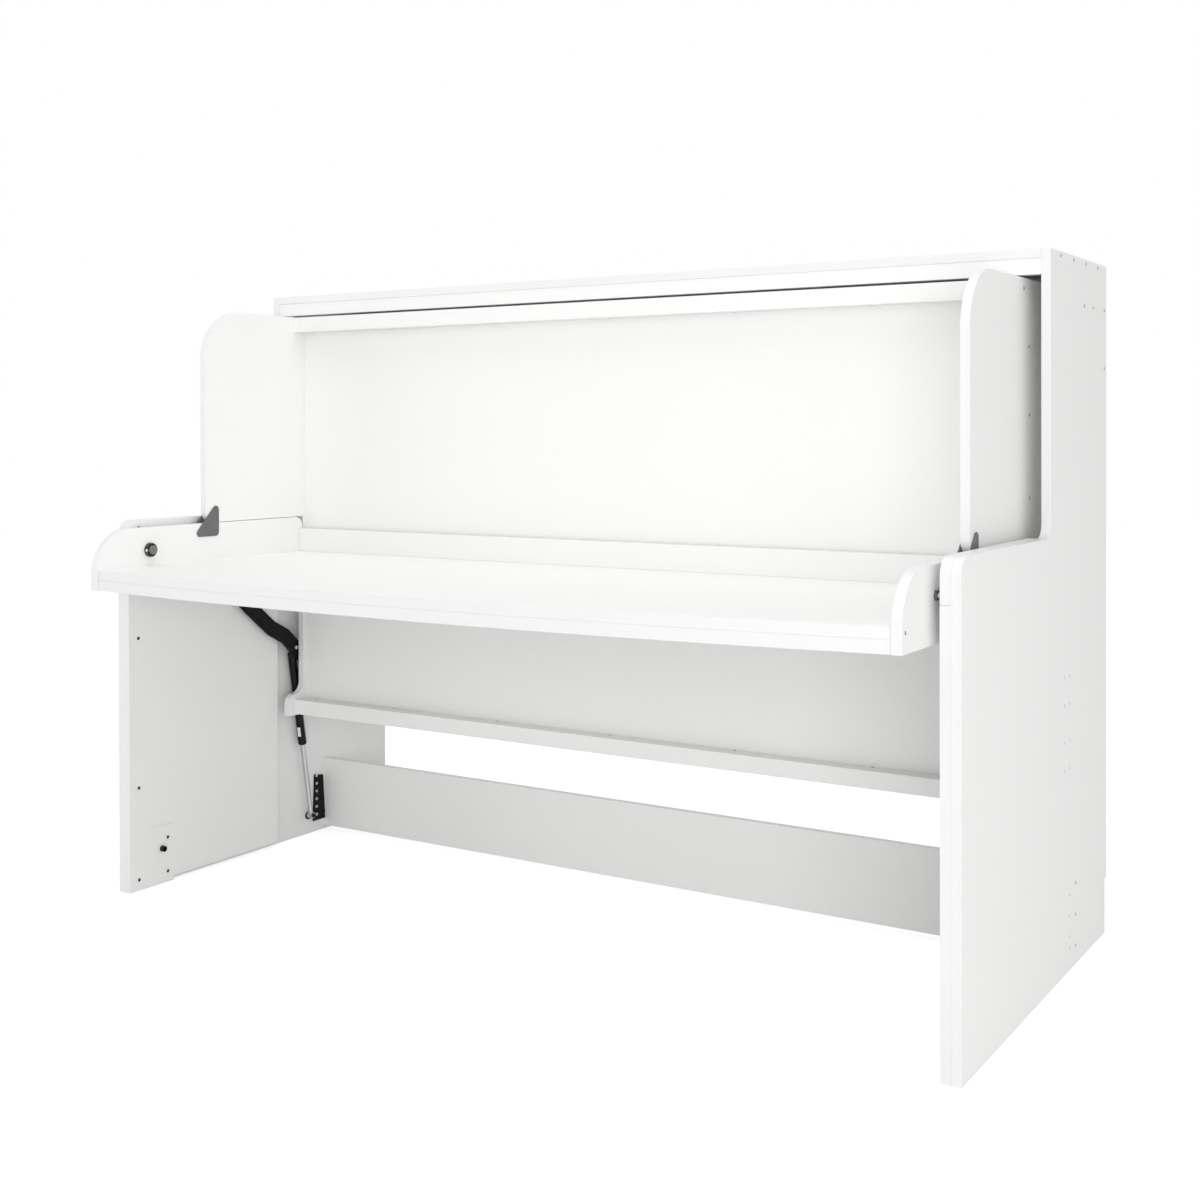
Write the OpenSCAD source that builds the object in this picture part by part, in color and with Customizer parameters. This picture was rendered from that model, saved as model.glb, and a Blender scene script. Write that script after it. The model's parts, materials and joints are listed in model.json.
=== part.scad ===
// Horizontal wall bed with a desk that stays level while the bed folds down.
// Shown with the bed folded up and the desk in use. Units are millimetres.
// +X runs along the desk, the front faces -Y, +Z is up, the floor is z = 0.

/* [Carcass] */
// Overall width over the two side panels
cabinet_w = 2050; // [1950:5:2250]
// Overall height
cabinet_h = 1440; // [1420:5:1520]
// Depth of the upper carcass, from the wall
cabinet_d = 424; // [415:1:450]
// Depth of the wings at desk height, from the wall
wing_d = 943.5; // [930:0.5:1050]
// Height of the wings
wing_h = 878; // [868:1:930]
// Thickness of the carcass boards
board_t = 18.5; // [18:0.25:19]
// Radius of the top front corner of a wing
wing_r = 34; // [20:1:90]
// Radius of the hollow corner between wing and upper carcass
neck_r = 28; // [10:1:50]
// Height of the skirting cut-out at the back
skirting_h = 115; // [60:5:160]
// Depth of the skirting cut-out at the back
skirting_d = 15; // [8:1:25]
// Height of the fascia under the top board
fascia_h = 32; // [20:0.5:34]
// How far the fascia stands back from the front edge
fascia_inset = 1.5; // [0:0.5:4]

/* [Carcass rails] */
// Gap between the wall and the upper rear rail
rear_inset = 8; // [4:1:12]
// Height of the upper rear rail
rear_rail_h = 230; // [150:5:300]
// Depth of the stiffening shelf's underside below the top
shelf_drop = 106; // [96:1:140]
// Width of the stiffening shelf, front to back
shelf_w = 173.5; // [120:0.5:210]
// Front face of the low back rail, from the wall
low_rail_front = 256; // [200:1:262]
// Height of the low back rail
low_rail_h = 184; // [120:2:220]
// Gap under the low back rail
low_rail_gap = 10; // [4:1:25]

/* [Wing liners] */
// Thickness of the wing liners
liner_t = 18.5; // [18:0.25:19]
// Rear edge of the wing liners, from the wall
liner_rear = 452; // [448:2:640]
// Height of the seam below the upper liner block
liner_seam_z = 797; // [780:1:830]
// Gap of that seam
seam_gap = 0.3; // [0.2:0.1:3]
// Length of the foot under the front of a liner
foot_l = 135; // [80:5:180]
// Height of the raised edge behind that foot
foot_h = 10; // [4:1:20]

/* [Desk] */
// Height of the desk surface
desk_h = 772.5; // [760:0.5:780]
// Thickness of the desk board
desk_t = 22; // [18:0.5:24]
// Height of the bowed apron and the battens under the desk board
apron_h = 24; // [16:0.5:26]
// Width of the apron from front to back
apron_w = 60; // [40:1:90]
// Front edge of the desk cheeks, from the wall
cheek_front = 1067.5; // [1040:0.5:1090]
// Rear edge of the desk cheeks, from the wall
cheek_rear = 397; // [397:0.5:410]
// Rise of the desk cheeks above the desk surface
cheek_rise = 90; // [84:1:96]
// Thickness of the desk cheeks
cheek_t = 19; // [18:0.25:20]
// Radius of the top front corner of a cheek
cheek_r = 97; // [30:1:110]
// Radius of the top rear corner of a cheek
cheek_rear_r = 25; // [5:1:40]
// How far the middle of the desk front bows beyond its ends
bow = 66.5; // [20:0.5:80]
// How far the ends of the desk front stand back from the cheeks' front edges
desk_setback = 4; // [0:0.5:8]
// Rear edge of the desk board, from the wall
desk_rear = 390; // [388:0.5:394]
// Height of the upstand above the desk surface
upstand_h = 59.5; // [30:0.5:80]
// Thickness of the upstand
upstand_t = 18; // [12:0.5:19]
// Width of a batten under the desk board
batten_w = 60; // [40:1:90]

/* [Bed] */
// Thickness of the bed panel
bed_panel_t = 18; // [15:0.5:20]
// Front face of the bed panel with the bed up, from the wall
bed_panel_front = 386; // [380:0.5:388]
// Lower edge of the end boards
end_bottom = 342; // [330:1:360]
// Gap between the end boards and the fascia
end_top_gap = 4; // [3:0.5:12]
// Front edge of the end boards above the desk, from the wall
leg_front = 735.5; // [715:0.5:760]
// Rear edge of the end boards, from the wall
end_rear = 264; // [262:1:268]
// Front edge of the end boards below the desk, from the wall
strip_front = 394; // [390:0.5:395]
// Radius of the top front corner of an end board
leg_r = 120; // [40:1:160]
// Radius of the two rear corners of an end board
end_rear_r = 20; // [5:1:30]
// Front edge of the flare at the foot of an end board, from the wall
flare_front = 448.5; // [440:0.5:470]
// Height of that flare
flare_h = 56; // [50:1:70]
// Height of the two long bed rails
rail_h = 38; // [30:1:42]
// Depth of the two long bed rails
rail_d = 42; // [30:1:46]

/* [Fold mechanism] */
// Gap between the wing liners and the desk cheeks
mech_gap = 18; // [17.5:0.5:22]
// Bed pivot, from the wall
pivot_f = 308.5; // [304:0.5:312]
// Distance of the desk pivot from the two leg edges beside it
corner_r = 31; // [28:0.5:34]
// Running gap between the leg edge and the cheek edge below it
edge_gap = 1; // [0.5:0.5:2]
// Gap between the desk and the floor with the bed down
floor_gap = 1.5; // [1:0.5:6]
// Drop from the bed pivot to the levelling arm's pivot
link_drop = 130; // [115:1:132]
// Width of the levelling arm
arm_w = 40; // [32:1:42]
// Thickness of the levelling arm
arm_t = 5; // [4:0.5:6]
// Gap between the levelling arm and the desk cheek
arm_gap = 3.5; // [3:0.25:4]
// Diameter of the bed pivot studs
bed_stud_d = 16; // [12:0.5:18]
// Diameter of the levelling arm's studs
arm_stud_d = 12; // [10:0.5:14]
// Diameter of the desk pivot bolts
desk_bolt_d = 12; // [8:0.5:12]
// Thickness of the triangular hinge plates
hinge_plate_t = 2.5; // [2:0.25:2.75]
// Height of the triangular hinge plates between hole centres
hinge_plate_h = 55; // [50:1:60]
// Length of the triangular hinge plates between hole centres
hinge_plate_l = 52; // [45:1:70]
// Radius of the corners of a hinge plate
hinge_plate_r = 9.5; // [8:0.5:11]
// Thickness of the steel plates on the side panels
steel_t = 4; // [3:0.25:4.25]
// Width of a pivot plate
pivot_plate_w = 60; // [56:1:70]
// Height of a pivot plate
pivot_plate_h = 80; // [74:1:90]
// Hole spacing of a pivot plate, front to back
plate_pitch_f = 36; // [34:1:42]
// Hole spacing of a pivot plate, up
plate_pitch_z = 56; // [52:1:60]

/* [Gas spring] */
// Lower spring pin, from the wall
spring_foot_f = 325; // [320:0.5:330]
// Height of the lower spring pin
spring_foot_z = 53; // [50:0.5:60]
// Position of the spring bolt along the levelling arm
spring_bolt_at = 121; // [110:1:130]
// Diameter of the spring tube
tube_d = 22; // [18:0.5:22]
// Length of the spring tube below its eye
tube_l = 250; // [240:1:256]
// Diameter of the spring rod
rod_d = 12; // [8:0.5:12]
// Diameter of the spring bolt and of the lower spring pin
spring_pin_d = 8; // [6:0.5:8.5]
// Front to back size of the spring bracket at its top
bracket_w = 40.5; // [38:0.5:48]
// Height of the spring bracket
bracket_h = 125; // [122:1:140]
// Spacing of the holes in the spring bracket
bracket_pitch = 21; // [18:0.5:22]

/* [Lock] */
// Lock pin, from the wall
lock_f = 912; // [890:0.5:925]
// Height of the lock pin above the desk surface
lock_rise = 37; // [34:0.5:42]
// Diameter of the lock pin
lock_pin_d = 10; // [8:0.5:11]
// Diameter of the hexagonal pull knob over its corners
knob_d = 24; // [18:0.5:24]
// Height of the pull knob
knob_h = 8; // [7:0.5:12]
// Base diameter of the ring the knob sinks into
knob_ring_d = 34; // [33:0.5:40]
// How far the lock pin slides out to lock
lock_travel = 6.5; // [5:0.5:8]
// Gap between the tip of the lock pin and the lock bush
lock_tip_gap = 0.5; // [0.5:0.1:1]

/* [Wall fixing] */
// Spacing of the wall bolts, sideways
wall_pitch_x = 1219.2; // [800:0.1:1600]
// Spacing of the wall bolts, up
wall_pitch_z = 60; // [40:1:80]
// Diameter of the wall bolt holes
wall_hole_d = 8.5; // [6:0.5:11]

/* [Fasteners] */
// Head diameter of the board screws
screw_head_d = 7; // [6:0.5:8]
// Shank diameter of the board screws
screw_d = 4; // [3:0.5:5]
// Length of the board screws
screw_l = 50; // [40:1:60]

/* [Hidden] */

$fn = 64;
white = [0.94, 0.94, 0.93];
black = [0.09, 0.09, 0.1];
dark = [0.35, 0.35, 0.36];
steel = [0.72, 0.73, 0.75];
bush_wall = 2;
press = 0.03;    // radial clearance of a pin or bush that sits tight
run = 0.05;      // radial clearance of a pivot
open_run = 0.3;  // radial clearance of the arm's front pivot
eps = 1;         // how far a cut runs past a face

// Positions across the width, from the middle outwards
half_w = cabinet_w / 2;
shelf_z = cabinet_h - shelf_drop;
shelf_front = rear_inset + board_t + shelf_w;
side_in = half_w - board_t;
liner_in = side_in - liner_t;
cheek_out = liner_in - mech_gap;
cheek_in = cheek_out - cheek_t;
end_gap = 0.5;
end_out = cheek_out - end_gap;
end_in = cheek_in + end_gap;
plate_in = side_in - steel_t;
arm_in = cheek_out + arm_gap;
arm_out = arm_in + arm_t;

// Depth from the wall to the bowed front, which puts the origin in the middle
total_d = cheek_front - desk_setback + bow;
rear_y = total_d / 2;
bow_r = (cheek_in * cheek_in + bow * bow) / (2 * bow);
bow_fn = 1440;

// Heights of the desk and the points [forward, up] of the linkage
desk_bottom = desk_h - desk_t - apron_h;
cheek_top = desk_h + cheek_rise;
leg_bottom = cheek_top + edge_gap;
desk_pivot = [leg_front - corner_r, leg_bottom + corner_r];
bed_pivot = [pivot_f, desk_pivot[0] - pivot_f + cheek_top - desk_bottom + edge_gap + corner_r + floor_gap];
arm_pivot = bed_pivot - [0, link_drop];
arm_front = desk_pivot - [0, link_drop];
crank = desk_pivot - bed_pivot;
desk_travel = [crank[1] - crank[0], -crank[0] - crank[1]];

// The levelling arm's centre line, as [along, aside] from its rear pivot
arm_l = norm(crank);
arm_dir = crank / arm_l;
arm_side = [-arm_dir[1], arm_dir[0]];
arm_line = [[0, 0], [125, 3], [172, 5], [228, -7], [330, -8], [arm_l, 0]];
function arm_point(p) = arm_pivot + p[0] * arm_dir + p[1] * arm_side;
spring_bolt = arm_point([spring_bolt_at, 3]);

// Gas spring
spring_foot = [spring_foot_f, spring_foot_z];
spring_l = norm(spring_bolt - spring_foot);
spring_lean = atan2(spring_bolt[0] - spring_foot[0], spring_bolt[1] - spring_foot[1]);
eye_r = 10;
neck_l = 6;
tube_bottom = spring_l - eye_r - neck_l - tube_l;
tube_wall = 2;
tube_cap = 8;
spring_gap = 0.5;
spring_x = plate_in - spring_gap - tube_d / 2;
rod_in_tube = 26;
piston_l = 10;
spring_head_d = 10;
spring_clip_d = 11;
lug_r = 10;
bracket_taper = 6;
bracket_lean = 7;
bracket_slant = 5;
bracket_hole_edge = 5.5;
rod_eye_r = 8;

// Lock pin positions with the desk in use and with the bed down
lock_up = [lock_f, desk_h + lock_rise];
lock_down = lock_up + desk_travel;
lock_bush_wall = 1.6;
lock_bush_l = 15;
lock_bush_out = 9;
lock_hole_play = 0.4;
sleeve_wall = 2;
sleeve_out = 5;
lock_nut_t = 4.6;
knob_ring_h = 8;
knob_face_t = 2;
ring_rim_t = 1.5;
ring_slope = 1;
knob_ring_base = 1;
knob_gap = 0.3;
slot_depth = 2;
slot_rise = 55.5;
slot_h = 2;
slot_reach = [-33, 37];
slot_from = lock_down + [slot_reach[0], slot_rise];
slot_to = lock_down + [slot_reach[1], slot_rise + slot_h];

// Bed
end_top = cabinet_h - board_t - fascia_h - end_top_gap;
rail_margin = 1.5;
bed_panel_rear = bed_panel_front - bed_panel_t;
lower_rail_z = end_bottom + 4;
upper_rail_z = end_top - rail_margin - rail_h;
flare_r = 24;
flare_fillet = 30;

// Screw positions
top_screw_f = [for (k = [0.165, 0.387, 0.608, 0.83]) cabinet_d * k];
shelf_screw_f = [for (k = [0.475, 0.873]) rear_inset + board_t + k * shelf_w];
screw_f = wing_d - 28.5;
foot_screw_pitch = 88;
liner_screw_points = [
    [screw_f, 0.751 * liner_seam_z], [screw_f, 0.306 * liner_seam_z], [screw_f, foot_h + 16],
    lock_down + [-18, 23.5], [screw_f - foot_screw_pitch, foot_h + 16], [screw_f - 2.5, wing_h - 18.5]
];
liner_head_d = screw_head_d + 1;
pilot_l = 10;    // how far a screw from inside goes into a side panel
cheek_screw_f = [for (k = [0.035, 0.245, 0.68, 0.975]) cheek_rear + k * (cheek_front - cheek_rear)];
bracket_f = low_rail_front + 1;
bracket_z = 30;
bracket_hole_f = bracket_f + bracket_w - bracket_hole_edge;
bracket_hole_z = [for (i = [0:5]) bracket_z + 17 + i * bracket_pitch];
bracket_bolt_z = [for (i = [0, 1, 3, 5]) bracket_hole_z[i]];
bracket_screw_z = [for (i = [2, 4]) bracket_hole_z[i]];
rail_screw_x = concat([for (i = [-2:2]) i * end_in * 0.339], [40 - end_in, end_in - 40]);

// ---- Helpers -------------------------------------------------------------

// Keeps a right-hand piece as drawn, or mirrors it to the left
module on_side(s) {
    if (s > 0) children();
    else mirror([1, 0, 0]) children();
}

// Carries an outline drawn as (forward, up) across the width from x0 to x1
module across(x0, x1) {
    translate([x1, rear_y, 0]) rotate([90, 0, -90]) linear_extrude(x1 - x0) children();
}

// Rectangular board between two places on each axis
module board(x, f, z) {
    translate([x[0], rear_y - f[1], z[0]]) cube([x[1] - x[0], f[1] - f[0], z[1] - z[0]]);
}

// Round rod along the width at a point [forward, up]
module rod(p, d, x0, x1) {
    translate([x0, rear_y - p[0], p[1]]) rotate([0, 90, 0]) cylinder(d = d, h = x1 - x0);
}

// What a rounded corner takes off a square one, drawn at the origin
module round_off(r) {
    difference() {
        square(r + eps);
        circle(r);
    }
}

// What a hollow corner adds between two edges that meet at the origin
module fillet(r) {
    difference() {
        square(r);
        translate([r, r]) circle(r);
    }
}

// Outline round the given centres, with a corner radius; the centres run anticlockwise
module rounded_outline(centres, r) {
    last = len(centres) - 1;
    edges = [
        for (i = [0:last])
            let (a = centres[i], b = centres[i == last ? 0 : i + 1], d = (b - a) / norm(b - a))
            for (p = [a, b]) p + r * [d[1], -d[0]]
    ];
    polygon(edges);
    for (c = centres) translate(c) circle(r);
}

// Strip of constant width along a line of points, with round joints
module strip_outline(points, w) {
    for (i = [0:len(points) - 2])
        rounded_outline([points[i], points[i + 1]], w / 2);
}

// Screws in the right-hand side panel: head flush with the outside, shank inwards
module side_screws(points, length, play = 0) {
    for (p = points) {
        rod(p, screw_head_d + 2 * play, half_w - 3, half_w + play);
        rod(p, screw_d + 2 * play, half_w - length - play, half_w - 3);
    }
}

// Hexagon sockets in the heads of those screws
module side_sockets(points) {
    for (p = points)
        translate([half_w - 2, rear_y - p[0], p[1]]) rotate([0, 90, 0]) cylinder(d = 4, h = 3, $fn = 6);
}

// All screw points of the carcass joints in a side panel
carcass_points = concat(
    [for (f = top_screw_f) [f, cabinet_h - board_t / 2]],
    [for (f = shelf_screw_f) [f, shelf_z + board_t / 2]],
    [for (z = [shelf_z + board_t / 2, shelf_z - rear_rail_h / 2]) [rear_inset + board_t / 2, z]],
    [for (z = [0.15, 0.5, 0.85]) [low_rail_front - board_t / 2, low_rail_gap + z * low_rail_h]]
);

// All screw points of the steel plates on a side panel
function plate_holes(c) = [
    for (i = [-1, 1]) for (k = [-1, 1]) c + [i * plate_pitch_f / 2, k * plate_pitch_z / 2]
];
plate_points = concat(
    plate_holes(bed_pivot), plate_holes(arm_pivot), [for (z = bracket_bolt_z) [bracket_hole_f, z]]
);

// ---- Carcass -------------------------------------------------------------

module side_outline() {
    difference() {
        union() {
            square([cabinet_d, cabinet_h]);
            square([wing_d, wing_h]);
            translate([cabinet_d, wing_h]) fillet(neck_r);
        }
        translate([wing_d - wing_r, wing_h - wing_r]) round_off(wing_r);
        square([skirting_d, skirting_h]);
    }
}

module side_panel(s) {
    color(white) on_side(s) difference() {
        across(side_in, half_w) side_outline();
        side_screws(carcass_points, screw_l, press);
        side_screws(plate_points, screw_l, press);
        for (p = liner_screw_points) rod(p, screw_d + 2 * press, side_in - eps, side_in + pilot_l);
        for (z = bracket_screw_z)
            rod([bracket_hole_f, z], screw_d + 2 * press, side_in - eps, side_in + pilot_l);
    }
}

module top_board() {
    color(white) difference() {
        board([-side_in, side_in], [0, cabinet_d], [cabinet_h - board_t, cabinet_h]);
        for (s = [-1, 1]) on_side(s) side_screws(carcass_points, screw_l, press);
    }
}

module top_fascia() {
    front = cabinet_d - fascia_inset;
    top = cabinet_h - board_t;
    color(white) board([-side_in, side_in], [front - board_t, front], [top - fascia_h, top]);
}

module rear_top_rail() {
    top = cabinet_h - board_t;
    wall_z = top - rear_rail_h / 2;
    color(white) difference() {
        board([-side_in, side_in], [rear_inset, rear_inset + board_t], [top - rear_rail_h, top]);
        for (s = [-1, 1]) on_side(s) side_screws(carcass_points, screw_l, press);
        for (i = [-1, 1]) for (k = [-1, 1])
            translate([i * wall_pitch_x / 2, rear_y + eps, wall_z - 65 + k * wall_pitch_z / 2])
                rotate([90, 0, 0]) cylinder(d = wall_hole_d, h = rear_inset + board_t + 2 * eps);
    }
}

module stiffening_shelf() {
    color(white) difference() {
        board([-side_in, side_in], [rear_inset + board_t, shelf_front], [shelf_z, shelf_z + board_t]);
        for (s = [-1, 1]) on_side(s) side_screws(carcass_points, screw_l, press);
    }
}

module low_back_rail() {
    color(white) difference() {
        board([-side_in, side_in], [low_rail_front - board_t, low_rail_front],
            [low_rail_gap, low_rail_gap + low_rail_h]);
        for (s = [-1, 1]) on_side(s) side_screws(carcass_points, screw_l, press);
    }
}

// The round seats of the lock bushes in the liner and in the block above it
module lock_seats() {
    seat_d = lock_pin_d + 2 * (lock_hole_play + lock_bush_wall + press);
    for (p = [lock_up, lock_down]) rod(p, seat_d, liner_in - eps, liner_in + lock_bush_l);
}

// The bores and countersinks of the screws that hold a liner and its block
module liner_screw_cuts() {
    for (p = liner_screw_points) {
        rod(p, liner_head_d + 2 * press, liner_in - eps, liner_in + 2);
        rod(p, screw_d + 2 * press, liner_in, side_in + eps);
    }
}

module wing_liner(s) {
    color(white) on_side(s) difference() {
        across(liner_in, side_in) {
            translate([liner_rear, foot_h]) square([wing_d - liner_rear, liner_seam_z - foot_h]);
            translate([wing_d - foot_l, 0]) square([foot_l, foot_h]);
        }
        lock_seats();
        across(liner_in - eps, liner_in + slot_depth) translate(slot_from) square(slot_to - slot_from);
        liner_screw_cuts();
    }
}

module liner_block(s) {
    color(white) on_side(s) difference() {
        across(liner_in, side_in) difference() {
            translate([liner_rear, liner_seam_z + seam_gap])
                square([wing_d - liner_rear, wing_h - liner_seam_z - seam_gap]);
            translate([wing_d - wing_r, wing_h - wing_r]) round_off(wing_r);
        }
        lock_seats();
        liner_screw_cuts();
    }
}

// ---- Steel on the side panels --------------------------------------------

module plate_with_holes(c) {
    difference() {
        across(plate_in, side_in) rounded_outline([
            for (k = [[-1, -1], [1, -1], [1, 1], [-1, 1]])
                c + [k[0] * (pivot_plate_w / 2 - 6), k[1] * (pivot_plate_h / 2 - 6)]
        ], 6);
        side_screws(plate_holes(c), screw_l, press);
    }
}

bush_flange_t = 2;
bush_flange_d = bed_stud_d + 12;

module bed_pivot_plate(s) {
    color(black) on_side(s) {
        plate_with_holes(bed_pivot);
        rod(bed_pivot, bush_flange_d, end_out + bush_flange_t + end_gap, plate_in + eps);
        rod(bed_pivot, bed_stud_d, end_in - 3, plate_in);
        rod(bed_pivot, bush_flange_d, end_in - 8, end_in - 0.3);
    }
}

module arm_pivot_plate(s) {
    color(black) on_side(s) {
        plate_with_holes(arm_pivot);
        rod(arm_pivot, arm_stud_d + 10, arm_out + 0.3, plate_in + eps);
        rod(arm_pivot, arm_stud_d, arm_in - 1, plate_in);
        rod(arm_pivot, arm_stud_d + 8, end_out + 1, arm_in - 0.3);
    }
}

module spring_bracket(s) {
    eye_in = spring_x - 8;
    lug = spring_foot - [3, 3.5];
    top = bracket_z + bracket_h;
    color(black) on_side(s) {
        difference() {
            across(plate_in, side_in) {
                polygon([
                    [bracket_f, bracket_z], [bracket_f + bracket_w + bracket_taper, bracket_z],
                    [bracket_f + bracket_w, top], [bracket_f + bracket_lean, top - bracket_slant]
                ]);
                rounded_outline([[bracket_f + lug_r, lug[1]], lug], lug_r);
            }
            for (z = bracket_hole_z)
                rod([bracket_hole_f, z], screw_d + 2 * press, plate_in - eps, side_in + eps);
        }
        rod(spring_foot, spring_pin_d, eye_in - 1, plate_in + eps);
        rod(spring_foot, spring_clip_d, eye_in - 3, eye_in - 0.3);
    }
}

module lock_bushes() {
    bore_d = lock_pin_d + 2 * lock_hole_play;
    x = [liner_in - lock_bush_out, liner_in + lock_bush_l];
    color(black) for (s = [-1, 1]) on_side(s) for (p = [lock_up, lock_down]) difference() {
        rod(p, bore_d + 2 * lock_bush_wall, x[0], x[1]);
        rod(p, bore_d, x[0] - eps, x[1] + eps);
    }
}

module carcass_screws() {
    color(dark) for (s = [-1, 1]) on_side(s) difference() {
        side_screws(carcass_points, screw_l);
        side_sockets(carcass_points);
    }
}

module plate_screws() {
    color(steel) for (s = [-1, 1]) on_side(s) difference() {
        union() {
            side_screws(plate_points, half_w - plate_in);
            for (z = bracket_hole_z) rod([bracket_hole_f, z], screw_d + 4, plate_in - 2, plate_in);
            for (z = bracket_screw_z) rod([bracket_hole_f, z], screw_d, plate_in - 1, side_in + pilot_l);
        }
        side_sockets(plate_points);
    }
}

module liner_screws() {
    color(dark) for (s = [-1, 1]) on_side(s) for (p = liner_screw_points) difference() {
        union() {
            rod(p, liner_head_d, liner_in, liner_in + 2);
            rod(p, screw_d, liner_in + 1, side_in + pilot_l);
        }
        rod(p, 3, liner_in - eps, liner_in + 1.2);
    }
}

// ---- Bed -----------------------------------------------------------------

// End board: a leg above the desk, a narrower part beside it, a flared foot, and behind the panel
// the rim that holds the mattress and carries the bed pivot
module end_outline() {
    flare_top = end_bottom + flare_h;
    difference() {
        union() {
            translate([end_rear, end_bottom]) square([strip_front - end_rear, end_top - end_bottom]);
            translate([end_rear, leg_bottom]) square([leg_front - end_rear, end_top - leg_bottom]);
            translate([end_rear, end_bottom]) square([flare_front - end_rear, flare_h]);
            translate([strip_front, flare_top]) fillet(flare_fillet);
        }
        translate([leg_front - leg_r, end_top - leg_r]) round_off(leg_r);
        translate([end_rear + end_rear_r, end_top - end_rear_r]) mirror([1, 0]) round_off(end_rear_r);
        translate([end_rear + end_rear_r, end_bottom + end_rear_r]) rotate(180) round_off(end_rear_r);
        translate([flare_front - flare_r, flare_top - flare_r]) round_off(flare_r);
        translate(desk_pivot) mirror([0, 1]) round_off(corner_r);
    }
}

end_screw_z = concat(
    [for (k = [0.115, 0.237, 0.678]) end_bottom + k * (leg_bottom - end_bottom)],
    [for (k = [0.17, 0.485, 0.745]) leg_bottom + k * (end_top - leg_bottom)]
);

// Screws from an end board into the bed panel and the two rails
module end_screws(play = 0) {
    panel_f = (bed_panel_front + bed_panel_rear) / 2;
    rail_f = bed_panel_front + rail_d / 2 + 4;
    rail_z = [lower_rail_z + rail_h / 2, upper_rail_z + rail_h / 2];
    points = concat([for (z = end_screw_z) [panel_f, z]], [for (z = rail_z) [rail_f, z]]);
    for (p = points) {
        rod(p, screw_head_d + 2 * play, end_out - 2, end_out + play);
        rod(p, screw_d + 2 * play, end_out - screw_l - play, end_out - 2);
    }
}

module end_board(s) {
    color(white) on_side(s) difference() {
        across(end_in, end_out) end_outline();
        rod(bed_pivot, bed_stud_d + 2 * (bush_wall + press), end_in - eps, end_out + eps);
        rod(desk_pivot, desk_bolt_d + 2 * (bush_wall + press), end_in - eps, end_out + eps);
        end_screws(press);
    }
}

// Screws up through a rail into the bed panel, leaning back through the rail's corner
module rail_screw_set(d, play = 0) {
    head_h = 2;
    for (x = rail_screw_x) {
        for (z = [lower_rail_z + rail_h, upper_rail_z]) {
            up = z > lower_rail_z + rail_h ? 1 : -1;
            translate([x, rear_y - bed_panel_front - 6, z - up * play]) mirror([0, 0, up > 0 ? 0 : 1])
                cylinder(d = d + 2 * play, h = head_h + play);
        }
    }
}

module bed_panel() {
    color(white) difference() {
        board([-end_in, end_in], [bed_panel_rear, bed_panel_front], [lower_rail_z, upper_rail_z + rail_h]);
        for (s = [-1, 1]) on_side(s) end_screws(press);
    }
}

module bed_rail(z) {
    color(white) difference() {
        board([-end_in, end_in], [bed_panel_front, bed_panel_front + rail_d], [z, z + rail_h]);
        for (s = [-1, 1]) on_side(s) end_screws(press);
        rail_screw_set(screw_head_d, press);
    }
}

module bed_rail_screws() {
    color(dark) rail_screw_set(screw_head_d);
}

module end_board_screws() {
    color(dark) for (s = [-1, 1]) on_side(s) end_screws();
}

module bed_pivot_bushes() {
    color(dark) for (s = [-1, 1]) on_side(s) difference() {
        union() {
            rod(bed_pivot, bed_stud_d + 2 * bush_wall, end_in, end_out + eps);
            rod(bed_pivot, bush_flange_d, end_out, end_out + bush_flange_t);
        }
        rod(bed_pivot, bed_stud_d + 2 * run, end_in - eps, end_out + bush_flange_t + eps);
    }
}

module desk_pivot_bushes() {
    color(dark) for (s = [-1, 1]) on_side(s) difference() {
        rod(desk_pivot, desk_bolt_d + 2 * bush_wall, end_in, end_out);
        rod(desk_pivot, desk_bolt_d + 2 * run, end_in - eps, end_out + eps);
    }
}

// ---- Desk ----------------------------------------------------------------

// Upright slab bounded in front by the bow, set back by a distance
module bow_slab(setback, z) {
    translate([0, rear_y - total_d + bow_r, z[0]])
        cylinder(r = bow_r - setback, h = z[1] - z[0], $fn = bow_fn);
}

module cheek_screw_set(play = 0) {
    z = desk_h - desk_t / 2;
    for (f = cheek_screw_f) {
        rod([f, z], screw_head_d + 2 * play, cheek_out - 2, cheek_out + play);
        rod([f, z], screw_d + 2 * play, cheek_out - screw_l - play, cheek_out - 2);
    }
}

module desk_board() {
    z = [desk_h - desk_t, desk_h];
    color(white) difference() {
        intersection() {
            board([-cheek_in, cheek_in], [desk_rear, total_d + eps], z);
            bow_slab(0, z);
        }
        for (s = [-1, 1]) on_side(s) cheek_screw_set(press);
    }
}

module desk_apron() {
    z = [desk_bottom, desk_bottom + apron_h];
    color(white) intersection() {
        board([-cheek_in, cheek_in], [cheek_front - 2 * apron_w, total_d + eps], z);
        difference() {
            bow_slab(0, z);
            bow_slab(apron_w, [z[0] - eps, z[1] + eps]);
        }
    }
}

module desk_rear_rail() {
    color(white) board([-cheek_in, cheek_in], [desk_rear, desk_rear + batten_w],
        [desk_bottom, desk_bottom + apron_h]);
}

module desk_battens() {
    z = [desk_bottom, desk_bottom + apron_h];
    color(white) for (i = [-1:1]) intersection() {
        translate([i * cheek_in / 2, 0, 0])
            board([-batten_w / 2, batten_w / 2], [desk_rear + batten_w, total_d], z);
        bow_slab(apron_w + 0.3, z);
    }
}

module desk_upstand() {
    color(white) board([-cheek_in, cheek_in], [desk_rear, desk_rear + upstand_t],
        [desk_h, desk_h + upstand_h]);
}

module cheek_outline() {
    difference() {
        translate([cheek_rear, desk_bottom]) square([cheek_front - cheek_rear, cheek_top - desk_bottom]);
        translate([cheek_front - cheek_r, cheek_top - cheek_r]) round_off(cheek_r);
        translate([cheek_rear + cheek_rear_r, cheek_top - cheek_rear_r])
            mirror([1, 0]) round_off(cheek_rear_r);
    }
}

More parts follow.
